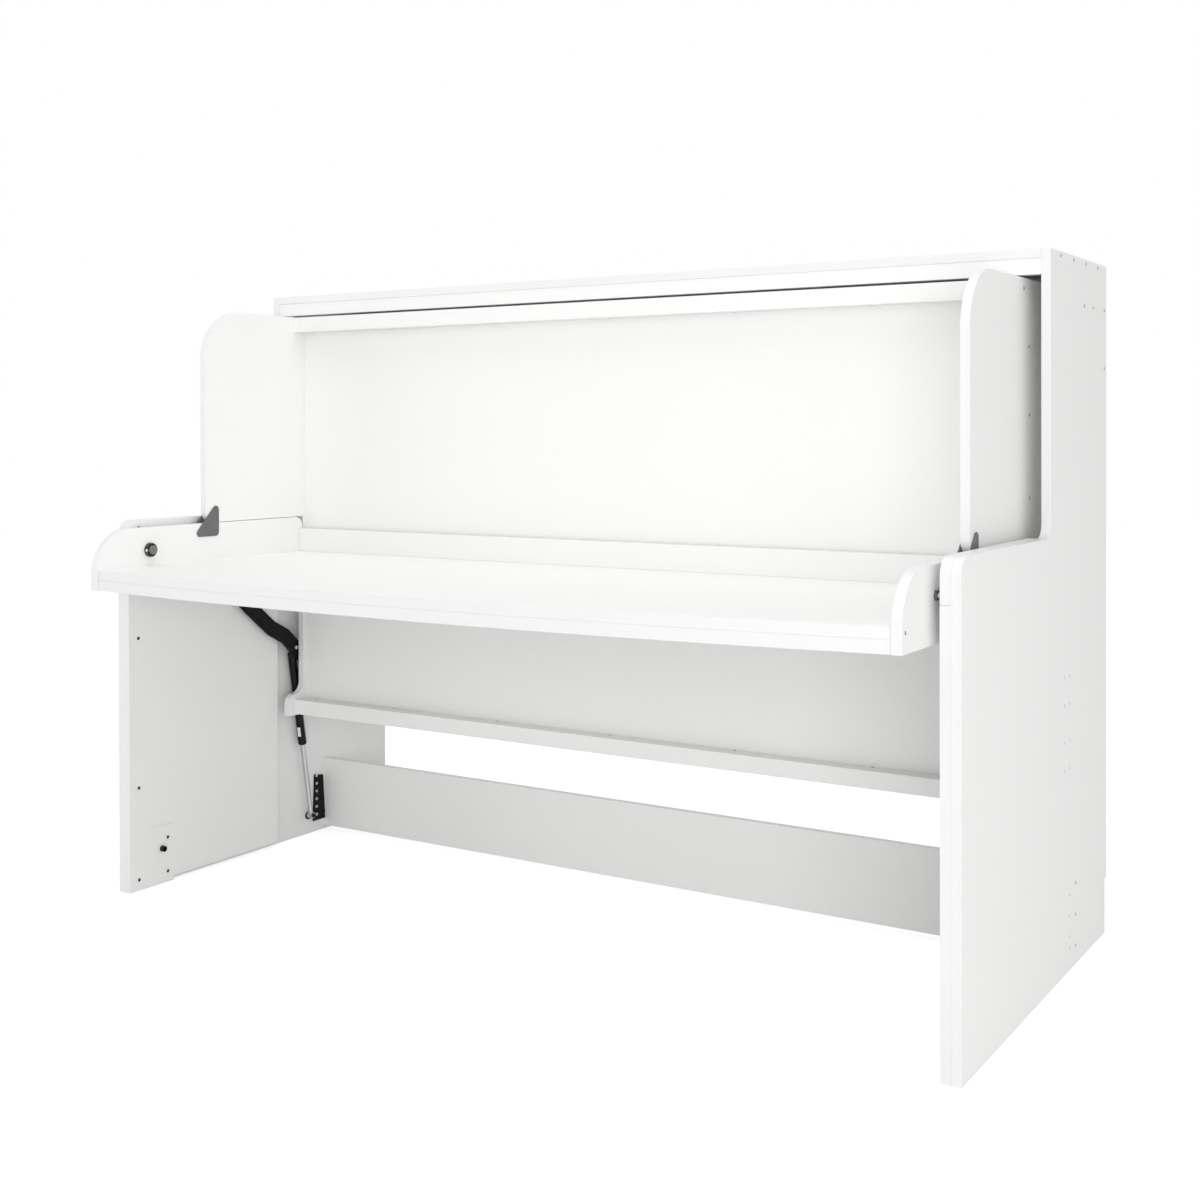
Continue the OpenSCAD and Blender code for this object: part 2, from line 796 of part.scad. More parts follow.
hinge_plate_low = [desk_pivot - [0, hinge_plate_h], desk_pivot + [hinge_plate_l, -hinge_plate_h]];
hinge_bolt_d = 6;
arm_stem_d = 10;
arm_stem_l = 14;

module desk_cheek(s) {
    color(white) on_side(s) difference() {
        across(cheek_in, cheek_out) cheek_outline();
        cheek_screw_set(press);
        rod(lock_up, lock_pin_d + 2 * (sleeve_wall + press), cheek_in - eps, cheek_out + eps);
        rod(arm_front, arm_stem_d + 2 * press, cheek_out - arm_stem_l, cheek_out + eps);
        for (p = hinge_plate_low) rod(p, hinge_bolt_d + 2 * press, cheek_in - eps, cheek_out + eps);
    }
}

module hinge_plate(s, x) {
    color(dark) on_side(s) difference() {
        across(x, x + hinge_plate_t)
            rounded_outline([desk_pivot, hinge_plate_low[0], hinge_plate_low[1]], hinge_plate_r);
        rod(desk_pivot, desk_bolt_d - 4 + 2 * press, x - eps, x + hinge_plate_t + eps);
        for (p = hinge_plate_low) rod(p, hinge_bolt_d + 2 * press, x - eps, x + hinge_plate_t + eps);
    }
}

module desk_pivot_bolts() {
    color(black) for (s = [-1, 1]) on_side(s) {
        rod(desk_pivot, desk_bolt_d, cheek_in, cheek_out);
        rod(desk_pivot, desk_bolt_d - 4, cheek_in - hinge_plate_t - 1, cheek_out + hinge_plate_t + 0.5);
    }
}

module hinge_plate_bolts() {
    color(black) for (s = [-1, 1]) on_side(s) for (p = hinge_plate_low)
        rod(p, hinge_bolt_d, cheek_in - hinge_plate_t - 1, cheek_out + hinge_plate_t + 0.5);
}

module cheek_screws() {
    color(dark) for (s = [-1, 1]) on_side(s) cheek_screw_set();
}

module arm_studs() {
    color(black) for (s = [-1, 1]) on_side(s) {
        rod(arm_front, arm_stem_d, cheek_out - arm_stem_l, cheek_out + eps);
        rod(arm_front, arm_stud_d + 8, cheek_out, arm_in - 0.3);
        rod(arm_front, arm_stud_d, arm_in - 1, arm_out + 1);
        rod(arm_front, arm_stud_d + 8, arm_out + 0.3, arm_out + 3);
    }
}

// ---- Lock ----------------------------------------------------------------

module lock_sleeves() {
    base = cheek_in - knob_ring_base;
    rim = cheek_in - knob_ring_h;
    seat_d = knob_d + 2 * knob_gap;
    rim_d = knob_ring_d - 2 * ring_slope;
    color(black) for (s = [-1, 1]) on_side(s) difference() {
        union() {
            rod(lock_up, lock_pin_d + 2 * sleeve_wall, base, cheek_out + sleeve_out);
            lock_axis(rim) cylinder(d1 = rim_d, d2 = knob_ring_d, h = knob_ring_h);
        }
        rod(lock_up, lock_pin_d + 2 * run, base - eps, cheek_out + sleeve_out + eps);
        rod(lock_up, seat_d, rim - eps, base);
        lock_axis(rim) cylinder(d1 = rim_d - 2 * ring_rim_t, d2 = seat_d, h = knob_ring_h - knob_ring_base);
    }
}

// Puts a piece drawn along +Z onto the lock pin's axis, from x0 outwards
module lock_axis(x0) {
    translate([x0, rear_y - lock_up[0], lock_up[1]]) rotate([0, 90, 0]) children();
}

// Hexagon nuts that hold the sleeves on the outer faces of the cheeks
module lock_nuts() {
    sleeve_d = lock_pin_d + 2 * sleeve_wall;
    color(steel) for (s = [-1, 1]) on_side(s) difference() {
        lock_axis(cheek_out) rotate(30) cylinder(d = sleeve_d + 6, h = lock_nut_t, $fn = 6);
        rod(lock_up, sleeve_d + 2 * press, cheek_out - eps, cheek_out + lock_nut_t + eps);
    }
}

knob_out = cheek_in - knob_ring_base - knob_gap - lock_travel;
pin_tip = liner_in - lock_bush_out - lock_tip_gap;

module lock_pin(s) {
    color(steel) on_side(s) rod(lock_up, lock_pin_d, knob_out - knob_h + knob_face_t, pin_tip);
}

module lock_knob(s) {
    color(black) on_side(s) difference() {
        lock_axis(knob_out - knob_h) rotate(30) union() {
            cylinder(d1 = knob_d - 3, d2 = knob_d, h = knob_face_t, $fn = 6);
            translate([0, 0, knob_face_t]) cylinder(d = knob_d, h = knob_h - knob_face_t, $fn = 6);
        }
        rod(lock_up, lock_pin_d + 2 * press, knob_out - knob_h + knob_face_t, knob_out + eps);
    }
}

// ---- Levelling arms and gas springs --------------------------------------

module levelling_arm(s) {
    color(black) on_side(s) difference() {
        across(arm_in, arm_out) strip_outline([for (p = arm_line) arm_point(p)], arm_w);
        rod(arm_pivot, arm_stud_d + 2 * run, arm_in - eps, arm_out + eps);
        rod(arm_front, arm_stud_d + 2 * open_run, arm_in - eps, arm_out + eps);
        rod(spring_bolt, spring_pin_d + 2 * press, arm_in - eps, arm_out + eps);
    }
}

module spring_bolt_piece(s) {
    color(steel) on_side(s) {
        rod(spring_bolt, spring_pin_d, arm_in - 1, arm_out + 1);
        rod(spring_bolt, spring_head_d, arm_in - 2.3, arm_in);
    }
}

// Puts a piece drawn along +Z from the lower spring pin onto the leaning spring
module along_spring() {
    translate([spring_x, rear_y - spring_foot[0], spring_foot[1]]) rotate([spring_lean, 0, 0]) children();
}

module gas_rod(s) {
    tip = tube_bottom + rod_in_tube;
    color(steel) on_side(s) difference() {
        union() {
            rod(spring_foot, 2 * rod_eye_r, spring_x - 8, spring_x + 8);
            along_spring() translate([0, 0, rod_eye_r - 2]) cylinder(d = rod_d, h = tip - rod_eye_r + 2);
            along_spring() translate([0, 0, tip - piston_l])
                cylinder(d = tube_d - 2 * tube_wall - 4 * run, h = piston_l);
        }
        rod(spring_foot, spring_pin_d + 2 * run, spring_x - 8 - eps, spring_x + 8 + eps);
    }
}

module gas_tube(s) {
    eye_in = arm_out + 1 + spring_gap;
    color(black) on_side(s) difference() {
        union() {
            rod(spring_bolt, 2 * eye_r, eye_in + 0.5, spring_x + 8);
            along_spring() translate([0, 0, tube_bottom]) cylinder(d = tube_d, h = tube_l);
            along_spring() translate([0, 0, tube_bottom + tube_l - eps])
                cylinder(d = rod_d + 4, h = neck_l + 4);
        }
        rod(spring_bolt, spring_pin_d + 2 * run, eye_in - eps, spring_x + 8 + eps);
        along_spring() translate([0, 0, tube_bottom - eps])
            cylinder(d = rod_d + 2 * run, h = tube_cap + 2 * eps);
        along_spring() translate([0, 0, tube_bottom + tube_cap])
            cylinder(d = tube_d - 2 * tube_wall, h = tube_l - 2 * tube_cap);
    }
}

// ---- The nodes -----------------------------------------------------------

side_panel(-1);  // side_panel_left
side_panel(1);  // side_panel_right
top_board();
top_fascia();
rear_top_rail();
stiffening_shelf();
low_back_rail();
wing_liner(-1);  // wing_liner_left
wing_liner(1);  // wing_liner_right
liner_block(-1);  // liner_block_left
liner_block(1);  // liner_block_right
bed_pivot_plate(-1);  // bed_pivot_plate_left
bed_pivot_plate(1);  // bed_pivot_plate_right
arm_pivot_plate(-1);  // arm_pivot_plate_left
arm_pivot_plate(1);  // arm_pivot_plate_right
spring_bracket(-1);  // spring_bracket_left
spring_bracket(1);  // spring_bracket_right
lock_bushes();
carcass_screws();
plate_screws();
liner_screws();
bed_panel();
end_board(-1);  // end_board_left
end_board(1);  // end_board_right
bed_rail(upper_rail_z);  // upper_bed_rail
bed_rail(lower_rail_z);  // lower_bed_rail
bed_rail_screws();
end_board_screws();
bed_pivot_bushes();
desk_pivot_bushes();
desk_board();
desk_apron();
desk_rear_rail();
desk_battens();
desk_upstand();
desk_cheek(-1);  // desk_cheek_left
desk_cheek(1);  // desk_cheek_right
hinge_plate(-1, cheek_in - hinge_plate_t);  // hinge_plate_inner_left
hinge_plate(-1, cheek_out);  // hinge_plate_outer_left
hinge_plate(1, cheek_in - hinge_plate_t);  // hinge_plate_inner_right
hinge_plate(1, cheek_out);  // hinge_plate_outer_right
desk_pivot_bolts();
hinge_plate_bolts();
cheek_screws();
arm_studs();
lock_sleeves();
lock_nuts();
lock_pin(-1);  // lock_pin_left
lock_pin(1);  // lock_pin_right
lock_knob(-1);  // lock_knob_left
lock_knob(1);  // lock_knob_right
levelling_arm(-1);  // levelling_arm_left
levelling_arm(1);  // levelling_arm_right
spring_bolt_piece(-1);  // spring_bolt_left
spring_bolt_piece(1);  // spring_bolt_right
gas_rod(-1);  // gas_rod_left
gas_rod(1);  // gas_rod_right
gas_tube(-1);  // gas_tube_left
gas_tube(1);  // gas_tube_right
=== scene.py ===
"""Looks of a white wall bed whose desk stays level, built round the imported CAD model.

The boards are copies of the CAD solids with eased edges and edge tape, the black
steel has the orange peel of powder coat, and the knobs, bolts, spring fittings and
lock nuts are turned and swept surfaces. Everything is in metres: +X runs along the
desk, the front faces -Y and +Z is up.
"""
import json
import logging
import math
from dataclasses import dataclass, field
from enum import Enum

import bmesh
import bpy
import numpy as np
from mathutils import Matrix, Vector

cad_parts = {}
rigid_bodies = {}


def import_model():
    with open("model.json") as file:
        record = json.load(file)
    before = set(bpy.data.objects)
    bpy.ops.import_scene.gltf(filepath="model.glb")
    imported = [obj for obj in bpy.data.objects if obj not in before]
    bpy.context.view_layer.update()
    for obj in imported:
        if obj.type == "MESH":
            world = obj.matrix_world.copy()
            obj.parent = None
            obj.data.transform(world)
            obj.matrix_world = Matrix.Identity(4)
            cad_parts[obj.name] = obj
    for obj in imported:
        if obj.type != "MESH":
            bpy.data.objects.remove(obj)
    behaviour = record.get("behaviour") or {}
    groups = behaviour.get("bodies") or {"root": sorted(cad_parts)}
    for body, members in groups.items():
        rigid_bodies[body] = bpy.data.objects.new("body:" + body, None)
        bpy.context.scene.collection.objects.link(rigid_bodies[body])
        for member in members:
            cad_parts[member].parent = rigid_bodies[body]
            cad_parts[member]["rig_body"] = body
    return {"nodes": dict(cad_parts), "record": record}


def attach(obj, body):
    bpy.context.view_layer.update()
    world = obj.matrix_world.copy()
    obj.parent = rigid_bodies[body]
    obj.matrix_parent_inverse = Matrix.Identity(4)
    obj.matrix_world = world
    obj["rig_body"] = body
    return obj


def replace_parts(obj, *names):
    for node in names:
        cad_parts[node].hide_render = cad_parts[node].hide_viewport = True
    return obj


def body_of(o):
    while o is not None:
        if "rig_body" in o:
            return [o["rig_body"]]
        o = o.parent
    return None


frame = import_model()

log = logging.getLogger("wall_bed")
REAR_Y = 0.565  # the wall behind the object
FLAT_ANGLE = math.radians(0.6)  # faces of a CAD solid nearer to flat than this become one
SHARP_ANGLE = math.radians(28)  # sharper edges of boards and steel are eased
CREASE_ANGLE = math.radians(35)  # sharper edges of turned and swept parts stay hard
EASE_SEGMENTS = 2  # facets across an eased edge
EDGE_SLANT = 0.5  # a face whose normal has less than this along the thin axis is taped
FACE_WEIGHT = 90  # how far large faces rule the shading of their corners


class Side(Enum):
    """The two mirrored halves, and the sign of their place along X."""

    LEFT = -1
    RIGHT = 1

    @property
    def tag(self) -> str:
        """The word that ends the names of this side's nodes and bodies."""
        return self.name.lower()


class Thin(Enum):
    """The axis along which a board is thin, so its other faces carry edge tape."""

    X = 0
    Y = 1
    Z = 2


# ---- Shader node groups --------------------------------------------------


class NodeGroup:
    """A shader node group with named inputs and outputs, filled in by a subclass."""

    name = "group"
    inputs: tuple[tuple[str, float], ...] = ()
    outputs: tuple[str, ...] = ()

    def tree(self) -> bpy.types.NodeTree:
        """Builds the group once and gives it back afterwards.

        Returns:
            The shader node tree.
        """
        made = bpy.data.node_groups.get(self.name)
        if made is not None:
            return made
        made = bpy.data.node_groups.new(self.name, "ShaderNodeTree")
        for name, value in self.inputs:
            socket = made.interface.new_socket(name, in_out="INPUT", socket_type="NodeSocketFloat")
            socket.default_value = value
        for name in self.outputs:
            made.interface.new_socket(name, in_out="OUTPUT", socket_type="NodeSocketFloat")
        start = made.nodes.new("NodeGroupInput")
        end = made.nodes.new("NodeGroupOutput")
        self.fill(made, start, end)
        return made

    def fill(self, tree: bpy.types.NodeTree, start: bpy.types.Node, end: bpy.types.Node) -> None:
        """Adds the nodes between the group's inputs and outputs."""
        raise NotImplementedError


def link(tree: bpy.types.NodeTree, out: bpy.types.NodeSocket, into: bpy.types.NodeSocket) -> None:
    """Joins two sockets."""
    tree.links.new(out, into)


def noise(
    tree: bpy.types.NodeTree,
    where: bpy.types.NodeSocket,
    scale: float,
    detail: float,
    rough: float = 0.5,
) -> bpy.types.NodeSocket:
    """Adds a noise texture.

    Args:
        tree: The tree it goes in.
        where: The coordinates it reads.
        scale: Cells per metre.
        detail: Octaves of finer noise.
        rough: Weight of the finer octaves.

    Returns:
        Its factor, about 0.3 to 0.7.
    """
    node = tree.nodes.new("ShaderNodeTexNoise")
    node.inputs["Scale"].default_value = scale
    node.inputs["Detail"].default_value = detail
    node.inputs["Roughness"].default_value = rough
    link(tree, where, node.inputs["Vector"])
    return node.outputs["Fac"]


def arithmetic(
    tree: bpy.types.NodeTree,
    kind: str,
    a: bpy.types.NodeSocket | float,
    b: bpy.types.NodeSocket | float,
) -> bpy.types.NodeSocket:
    """Adds one Math node.

    Args:
        tree: The tree it goes in.
        kind: The operation, such as MULTIPLY.
        a: First value or socket.
        b: Second value or socket.

    Returns:
        Its result.
    """
    node = tree.nodes.new("ShaderNodeMath")
    node.operation = kind
    for socket, value in zip(node.inputs, (a, b)):
        if isinstance(value, bpy.types.NodeSocket):
            link(tree, value, socket)
        else:
            socket.default_value = value
    return node.outputs[0]


class Mottle(NodeGroup):
    """Slow and fine noise together: shade, roughness and height that drift over a surface."""

    name = "mottle"
    inputs = (
        ("Slow scale", 3.0),
        ("Fine scale", 700.0),
        ("Roughness", 0.4),
        ("Roughness spread", 0.08),
    )
    outputs = ("Shade", "Roughness", "Height")

    def fill(self, tree: bpy.types.NodeTree, start: bpy.types.Node, end: bpy.types.Node) -> None:
        """Shade is slow noise, roughness adds a share of both, height is the fine noise."""
        where = tree.nodes.new("ShaderNodeTexCoord").outputs["Object"]
        slow = noise(tree, where, 1.0, 3.0)
        fine = noise(tree, where, 1.0, 2.0, 0.6)
        link(tree, start.outputs["Slow scale"], slow.node.inputs["Scale"])
        link(tree, start.outputs["Fine scale"], fine.node.inputs["Scale"])
        both = arithmetic(tree, "ADD", slow, fine)
        swing = arithmetic(tree, "SUBTRACT", both, 1.0)
        spread = arithmetic(tree, "MULTIPLY", swing, start.outputs["Roughness spread"])
        rough = arithmetic(tree, "ADD", start.outputs["Roughness"], spread)
        link(tree, slow, end.inputs["Shade"])
        link(tree, rough, end.inputs["Roughness"])
        link(tree, fine, end.inputs["Height"])


class Streaks(NodeGroup):
    """Fine lines round a turned or drawn metal part: noise stretched along two axes."""

    name = "streaks"
    inputs = (("Scale", 2500.0), ("Roughness", 0.3), ("Roughness spread", 0.2))
    outputs = ("Roughness", "Height")
    squeeze: float = 0.06

    def fill(self, tree: bpy.types.NodeTree, start: bpy.types.Node, end: bpy.types.Node) -> None:
        """Reads noise that changes along X and is drawn out along Y and Z."""
        where = tree.nodes.new("ShaderNodeTexCoord").outputs["Object"]
        drawn = tree.nodes.new("ShaderNodeMapping")
        drawn.inputs["Scale"].default_value = (1.0, self.squeeze, self.squeeze)
        link(tree, where, drawn.inputs["Vector"])
        lines = noise(tree, drawn.outputs["Vector"], 1.0, 2.0)
        link(tree, start.outputs["Scale"], lines.node.inputs["Scale"])
        swing = arithmetic(tree, "SUBTRACT", lines, 0.5)
        spread = arithmetic(tree, "MULTIPLY", swing, start.outputs["Roughness spread"])
        rough = arithmetic(tree, "ADD", start.outputs["Roughness"], spread)
        link(tree, rough, end.inputs["Roughness"])
        link(tree, lines, end.inputs["Height"])


# ---- Finishes ------------------------------------------------------------


def textured(
    tree: bpy.types.NodeTree,
    effect: NodeGroup,
    values: dict[str, float],
    strength: float,
    depth: float,
) -> bpy.types.Node:
    """Places an effect in a material and feeds its roughness and height to the shader.

    Args:
        tree: The material's tree.
        effect: The node group.
        values: Values for the group's inputs.
        strength: Strength of the bump.
        depth: Its depth in metres.

    Returns:
        The group's node.
    """
    shader = tree.nodes["Principled BSDF"]
    group = tree.nodes.new("ShaderNodeGroup")
    group.node_tree = effect.tree()
    for name, value in values.items():
        group.inputs[name].default_value = value
    bump = tree.nodes.new("ShaderNodeBump")
    bump.inputs["Strength"].default_value = strength
    bump.inputs["Distance"].default_value = depth
    link(tree, group.outputs["Roughness"], shader.inputs["Roughness"])
    link(tree, group.outputs["Height"], bump.inputs["Height"])
    link(tree, bump.outputs["Normal"], shader.inputs["Normal"])
    return group


@dataclass(frozen=True)
class Finish:
    """A finish with mottled shade, roughness and bump.

    The two colours are mixed by slow noise; bump is the depth of the fine noise in metres.
    """

    name: str
    light: tuple[float, float, float]
    deep: tuple[float, float, float]
    roughness: float
    spread: float
    slow_scale: float
    fine_scale: float
    bump: float
    specular: float = 0.5
    bump_strength: float = 0.6
    mix_from: float = 0.35
    mix_to: float = 0.65

    def material(self) -> bpy.types.Material:
        """Builds the material once and gives it back afterwards.

        Returns:
            The material.
        """
        made = bpy.data.materials.get(self.name)
        if made is not None:
            return made
        made = bpy.data.materials.new(self.name)
        made.use_nodes = True
        tree = made.node_tree
        values = {
            "Slow scale": self.slow_scale,
            "Fine scale": self.fine_scale,
            "Roughness": self.roughness,
            "Roughness spread": self.spread,
        }
        group = textured(tree, Mottle(), values, self.bump_strength, self.bump)
        ramp = tree.nodes.new("ShaderNodeValToRGB")
        ramp.color_ramp.elements[0].position = self.mix_from
        ramp.color_ramp.elements[0].color = (*self.deep, 1.0)
        ramp.color_ramp.elements[1].position = self.mix_to
        ramp.color_ramp.elements[1].color = (*self.light, 1.0)
        link(tree, group.outputs["Shade"], ramp.inputs["Fac"])
        shader = tree.nodes["Principled BSDF"]
        link(tree, ramp.outputs["Color"], shader.inputs["Base Color"])
        shader.inputs["Specular IOR Level"].default_value = self.specular
        made.diffuse_color = (*self.light, 1.0)
        return made


@dataclass(frozen=True)
class MetalFinish:
    """Bare or plated metal with fine turning or drawing lines."""

    name: str
    color: tuple[float, float, float]
    roughness: float
    spread: float
    scale: float
    bump: float
    bump_strength: float = 0.4

    def material(self) -> bpy.types.Material:
        """Builds the material once and gives it back afterwards.

        Returns:
            The material.
        """
        made = bpy.data.materials.get(self.name)
        if made is not None:
            return made
        made = bpy.data.materials.new(self.name)
        made.use_nodes = True
        tree = made.node_tree
        shader = tree.nodes["Principled BSDF"]
        shader.inputs["Base Color"].default_value = (*self.color, 1.0)
        shader.inputs["Metallic"].default_value = 1.0
        values = {
            "Scale": self.scale,
            "Roughness": self.roughness,
            "Roughness spread": self.spread,
        }
        textured(tree, Streaks(), values, self.bump_strength, self.bump)
        made.diffuse_color = (*self.color, 1.0)
        return made


BOARD = Finish(
    "white_board", light=(0.883, 0.885, 0.899), deep=(0.878, 0.880, 0.895),
    roughness=0.42, spread=0.10, slow_scale=2.2, fine_scale=620.0, bump=0.00005, specular=0.45,
)
TAPE = Finish(
    "white_edge_tape", light=(0.815, 0.815, 0.815), deep=(0.808, 0.808, 0.810),
    roughness=0.34, spread=0.08, slow_scale=9.0, fine_scale=950.0, bump=0.00003,
)
POWDER = Finish(
    "black_powder_coat", light=(0.0065, 0.0065, 0.007), deep=(0.0045, 0.0045, 0.005),
    roughness=0.42, spread=0.14, slow_scale=14.0, fine_scale=1500.0, bump=0.00010, specular=0.14,
)
PLATE = Finish(
    "grey_hinge_plate", light=(0.150, 0.146, 0.152), deep=(0.118, 0.116, 0.121),
    roughness=0.50, spread=0.16, slow_scale=30.0, fine_scale=1800.0, bump=0.00010,
)
TUBE = Finish(
    "black_spring_tube", light=(0.0065, 0.0065, 0.007), deep=(0.005, 0.005, 0.0055),
    roughness=0.26, spread=0.08, slow_scale=20.0, fine_scale=900.0, bump=0.00002, specular=0.16,
)
PLASTIC = Finish(
    "black_moulded_plastic", light=(0.010, 0.010, 0.011), deep=(0.007, 0.007, 0.008),
    roughness=0.38, spread=0.12, slow_scale=40.0, fine_scale=1400.0, bump=0.00006, specular=0.25,
)
# Knob plastic in mid-grey: partly the knob's own tone, partly painted reflection of the white
# surroundings on a dark semi-gloss knob.
KNOB_AND_REFLECTION = Finish(
    "grey_moulded_knob", light=(0.165, 0.163, 0.160), deep=(0.140, 0.138, 0.136),
    roughness=0.36, spread=0.12, slow_scale=45.0, fine_scale=1600.0, bump=0.00006,
)
# Dark plastic of the lock sleeves, darker than the knob: partly the plastic's own tone, partly
# painted shade of the cavity round the knob.
RING_AND_PAINTED_SHADE = Finish(
    "dark_moulded_ring", light=(0.062, 0.061, 0.060), deep=(0.050, 0.049, 0.048),
    roughness=0.36, spread=0.12, slow_scale=45.0, fine_scale=1600.0, bump=0.00006, specular=0.35,
)
LABEL = Finish(
    "bare_white_label", light=(0.86, 0.86, 0.85), deep=(0.83, 0.83, 0.82),
    roughness=0.45, spread=0.06, slow_scale=60.0, fine_scale=2500.0, bump=0.00001,
)
ZINC = MetalFinish(
    "zinc_plated_steel", color=(0.66, 0.66, 0.67),
    roughness=0.30, spread=0.22, scale=2600.0, bump=0.00003,
)
ROD = MetalFinish(
    "ground_rod_steel", color=(0.50, 0.50, 0.51),
    roughness=0.44, spread=0.12, scale=5200.0, bump=0.00001,
)
SCREW = MetalFinish(
    "plated_screw_steel", color=(0.34, 0.33, 0.32),
    roughness=0.38, spread=0.20, scale=3000.0, bump=0.00003,
)
BROWNED = MetalFinish(
    "browned_screw_steel", color=(0.095, 0.082, 0.072),
    roughness=0.42, spread=0.16, scale=3000.0, bump=0.00002,
)
NUT = MetalFinish(
    "dark_plated_nut", color=(0.20, 0.19, 0.20),
    roughness=0.24, spread=0.14, scale=3000.0, bump=0.00002,
)


# ---- Mesh helpers --------------------------------------------------------


def new_piece(
    name: str, mesh: bpy.types.Mesh, body: str, slot: str, *finishes: Finish | MetalFinish
) -> bpy.types.Object:
    """Makes a shown piece of a mesh that is already in place.

    Args:
        name: The piece's name.
        mesh: Its mesh, in the row frame.
        body: The CAD body it moves with.
        slot: The record's material slot; not used.
        *finishes: Its finishes, in the order of its material slots.

    Returns:
        The object.
    """
    piece = bpy.data.objects.new(name, mesh)
    bpy.context.scene.collection.objects.link(piece)
    mesh.materials.clear()
    for finish in finishes:
        mesh.materials.append(finish.material())
    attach(piece, body)
    log.info("%s: %d faces on %s", name, len(mesh.polygons), body)
    return piece


def grid_mesh(name: str, points: np.ndarray, capped: bool = True) -> bpy.types.Mesh:
    """Makes a mesh of rings of points, each ring closed on itself.

    Args:
        name: The mesh's name.
        points: Array (rings, places round, 3) in metres.
        capped: True if the first and last rings are closed by one face each.

    Returns:
        The mesh, smooth, with its faces pointing outwards.
    """
    rings, around, _ = points.shape
    at = np.arange(rings * around).reshape(rings, around)
    ahead = np.roll(at, -1, axis=1)
    quads = np.stack([at[:-1], ahead[:-1], ahead[1:], at[1:]], axis=-1).reshape(-1, 4)
    faces = quads.tolist()
    if capped:
        first = np.arange(around)
        faces += [first[::-1].tolist(), (first + (rings - 1) * around).tolist()]
    mesh = bpy.data.meshes.new(name)
    mesh.from_pydata(points.reshape(-1, 3), [], faces)
    outwards(mesh)
    mesh.shade_smooth()
    mesh.set_sharp_from_angle(angle=CREASE_ANGLE)
    return mesh


def outwards(mesh: bpy.types.Mesh, merge: float = 1e-6, flatten: float = 0.0) -> None:
    """Merges a mesh's doubled points and turns its faces outwards.

    Args:
        mesh: The mesh, changed in place.
        merge: Points closer than this become one.
        flatten: Faces that meet at less than this angle become one, in radians.
    """
    work = bmesh.new()
    work.from_mesh(mesh)
    bmesh.ops.remove_doubles(work, verts=work.verts, dist=merge)
    if flatten > 0:
        bmesh.ops.dissolve_degenerate(work, dist=merge, edges=work.edges)
        bmesh.ops.dissolve_limit(
            work, angle_limit=flatten, verts=work.verts, edges=work.edges, delimit={"NORMAL"}
        )
    bmesh.ops.recalc_face_normals(work, faces=work.faces)
    work.to_mesh(mesh)
    work.free()


def joined(name: str, parts: list[bpy.types.Mesh]) -> bpy.types.Mesh:
    """Puts several meshes into one.

    Args:
        name: The new mesh's name.
        parts: The meshes, which are removed afterwards.

    Returns:
        The one mesh.
    """
    work = bmesh.new()
    for part in parts:
        work.from_mesh(part)
        bpy.data.meshes.remove(part)
    mesh = bpy.data.meshes.new(name)
    work.to_mesh(mesh)
    work.free()
    return mesh


def turned(
    name: str,
    profile: list[tuple[float, float]],
    centre: Vector,
    axis: Vector,
    around: int = 64,
) -> bpy.types.Mesh:
    """Turns a profile about an axis.

    A point of the profile is (along the axis, radius). Its ring is centre + along * axis +
    radius * (cos(angle) * side + sin(angle) * up).

    Args:
        name: The mesh's name.
        profile: Points (along, radius) in metres, from one end to the other.
        centre: Where along is 0.
        axis: The direction of turning.
        around: Places round a ring.

    Returns:
        The closed mesh.
    """
    axis = axis.normalized()
    side = axis.orthogonal().normalized()
    up = axis.cross(side)
    rows = np.array(profile)
    angle = np.linspace(0.0, 2.0 * math.pi, around, endpoint=False)
    spokes = np.outer(np.cos(angle), side) + np.outer(np.sin(angle), up)
    points = (
        np.array(centre)[None, None, :]
        + rows[:, 0, None, None] * np.array(axis)[None, None, :]
        + rows[:, 1, None, None] * spokes[None, :, :]
    )
    return grid_mesh(name, points)


def eased(
    profile: list[tuple[float, float]], radius: float, steps: int = 4
) -> list[tuple[float, float]]:
    """Rounds the inner corners of a profile.

    Each corner is replaced by a quadratic curve that starts and ends a given distance
    before and after it, with the corner as its control point.

    Args:
        profile: Points (along, radius).
        radius: How far from a corner its curve starts, in metres.
        steps: Points on each curve.

    Returns:
        The profile with its corners eased.
    """
    points = [np.array(p, float) for p in profile]
    out = [tuple(points[0])]
    for before, corner, after in zip(points, points[1:], points[2:]):
        in_length = np.linalg.norm(before - corner)
        out_length = np.linalg.norm(after - corner)
        reach = min(radius, in_length / 2, out_length / 2)
        a = corner + (before - corner) / in_length * reach
        b = corner + (after - corner) / out_length * reach
        for t in np.linspace(0.0, 1.0, steps):
            out.append(tuple((1 - t) ** 2 * a + 2 * t * (1 - t) * corner + t**2 * b))
    out.append(tuple(points[-1]))
    return out


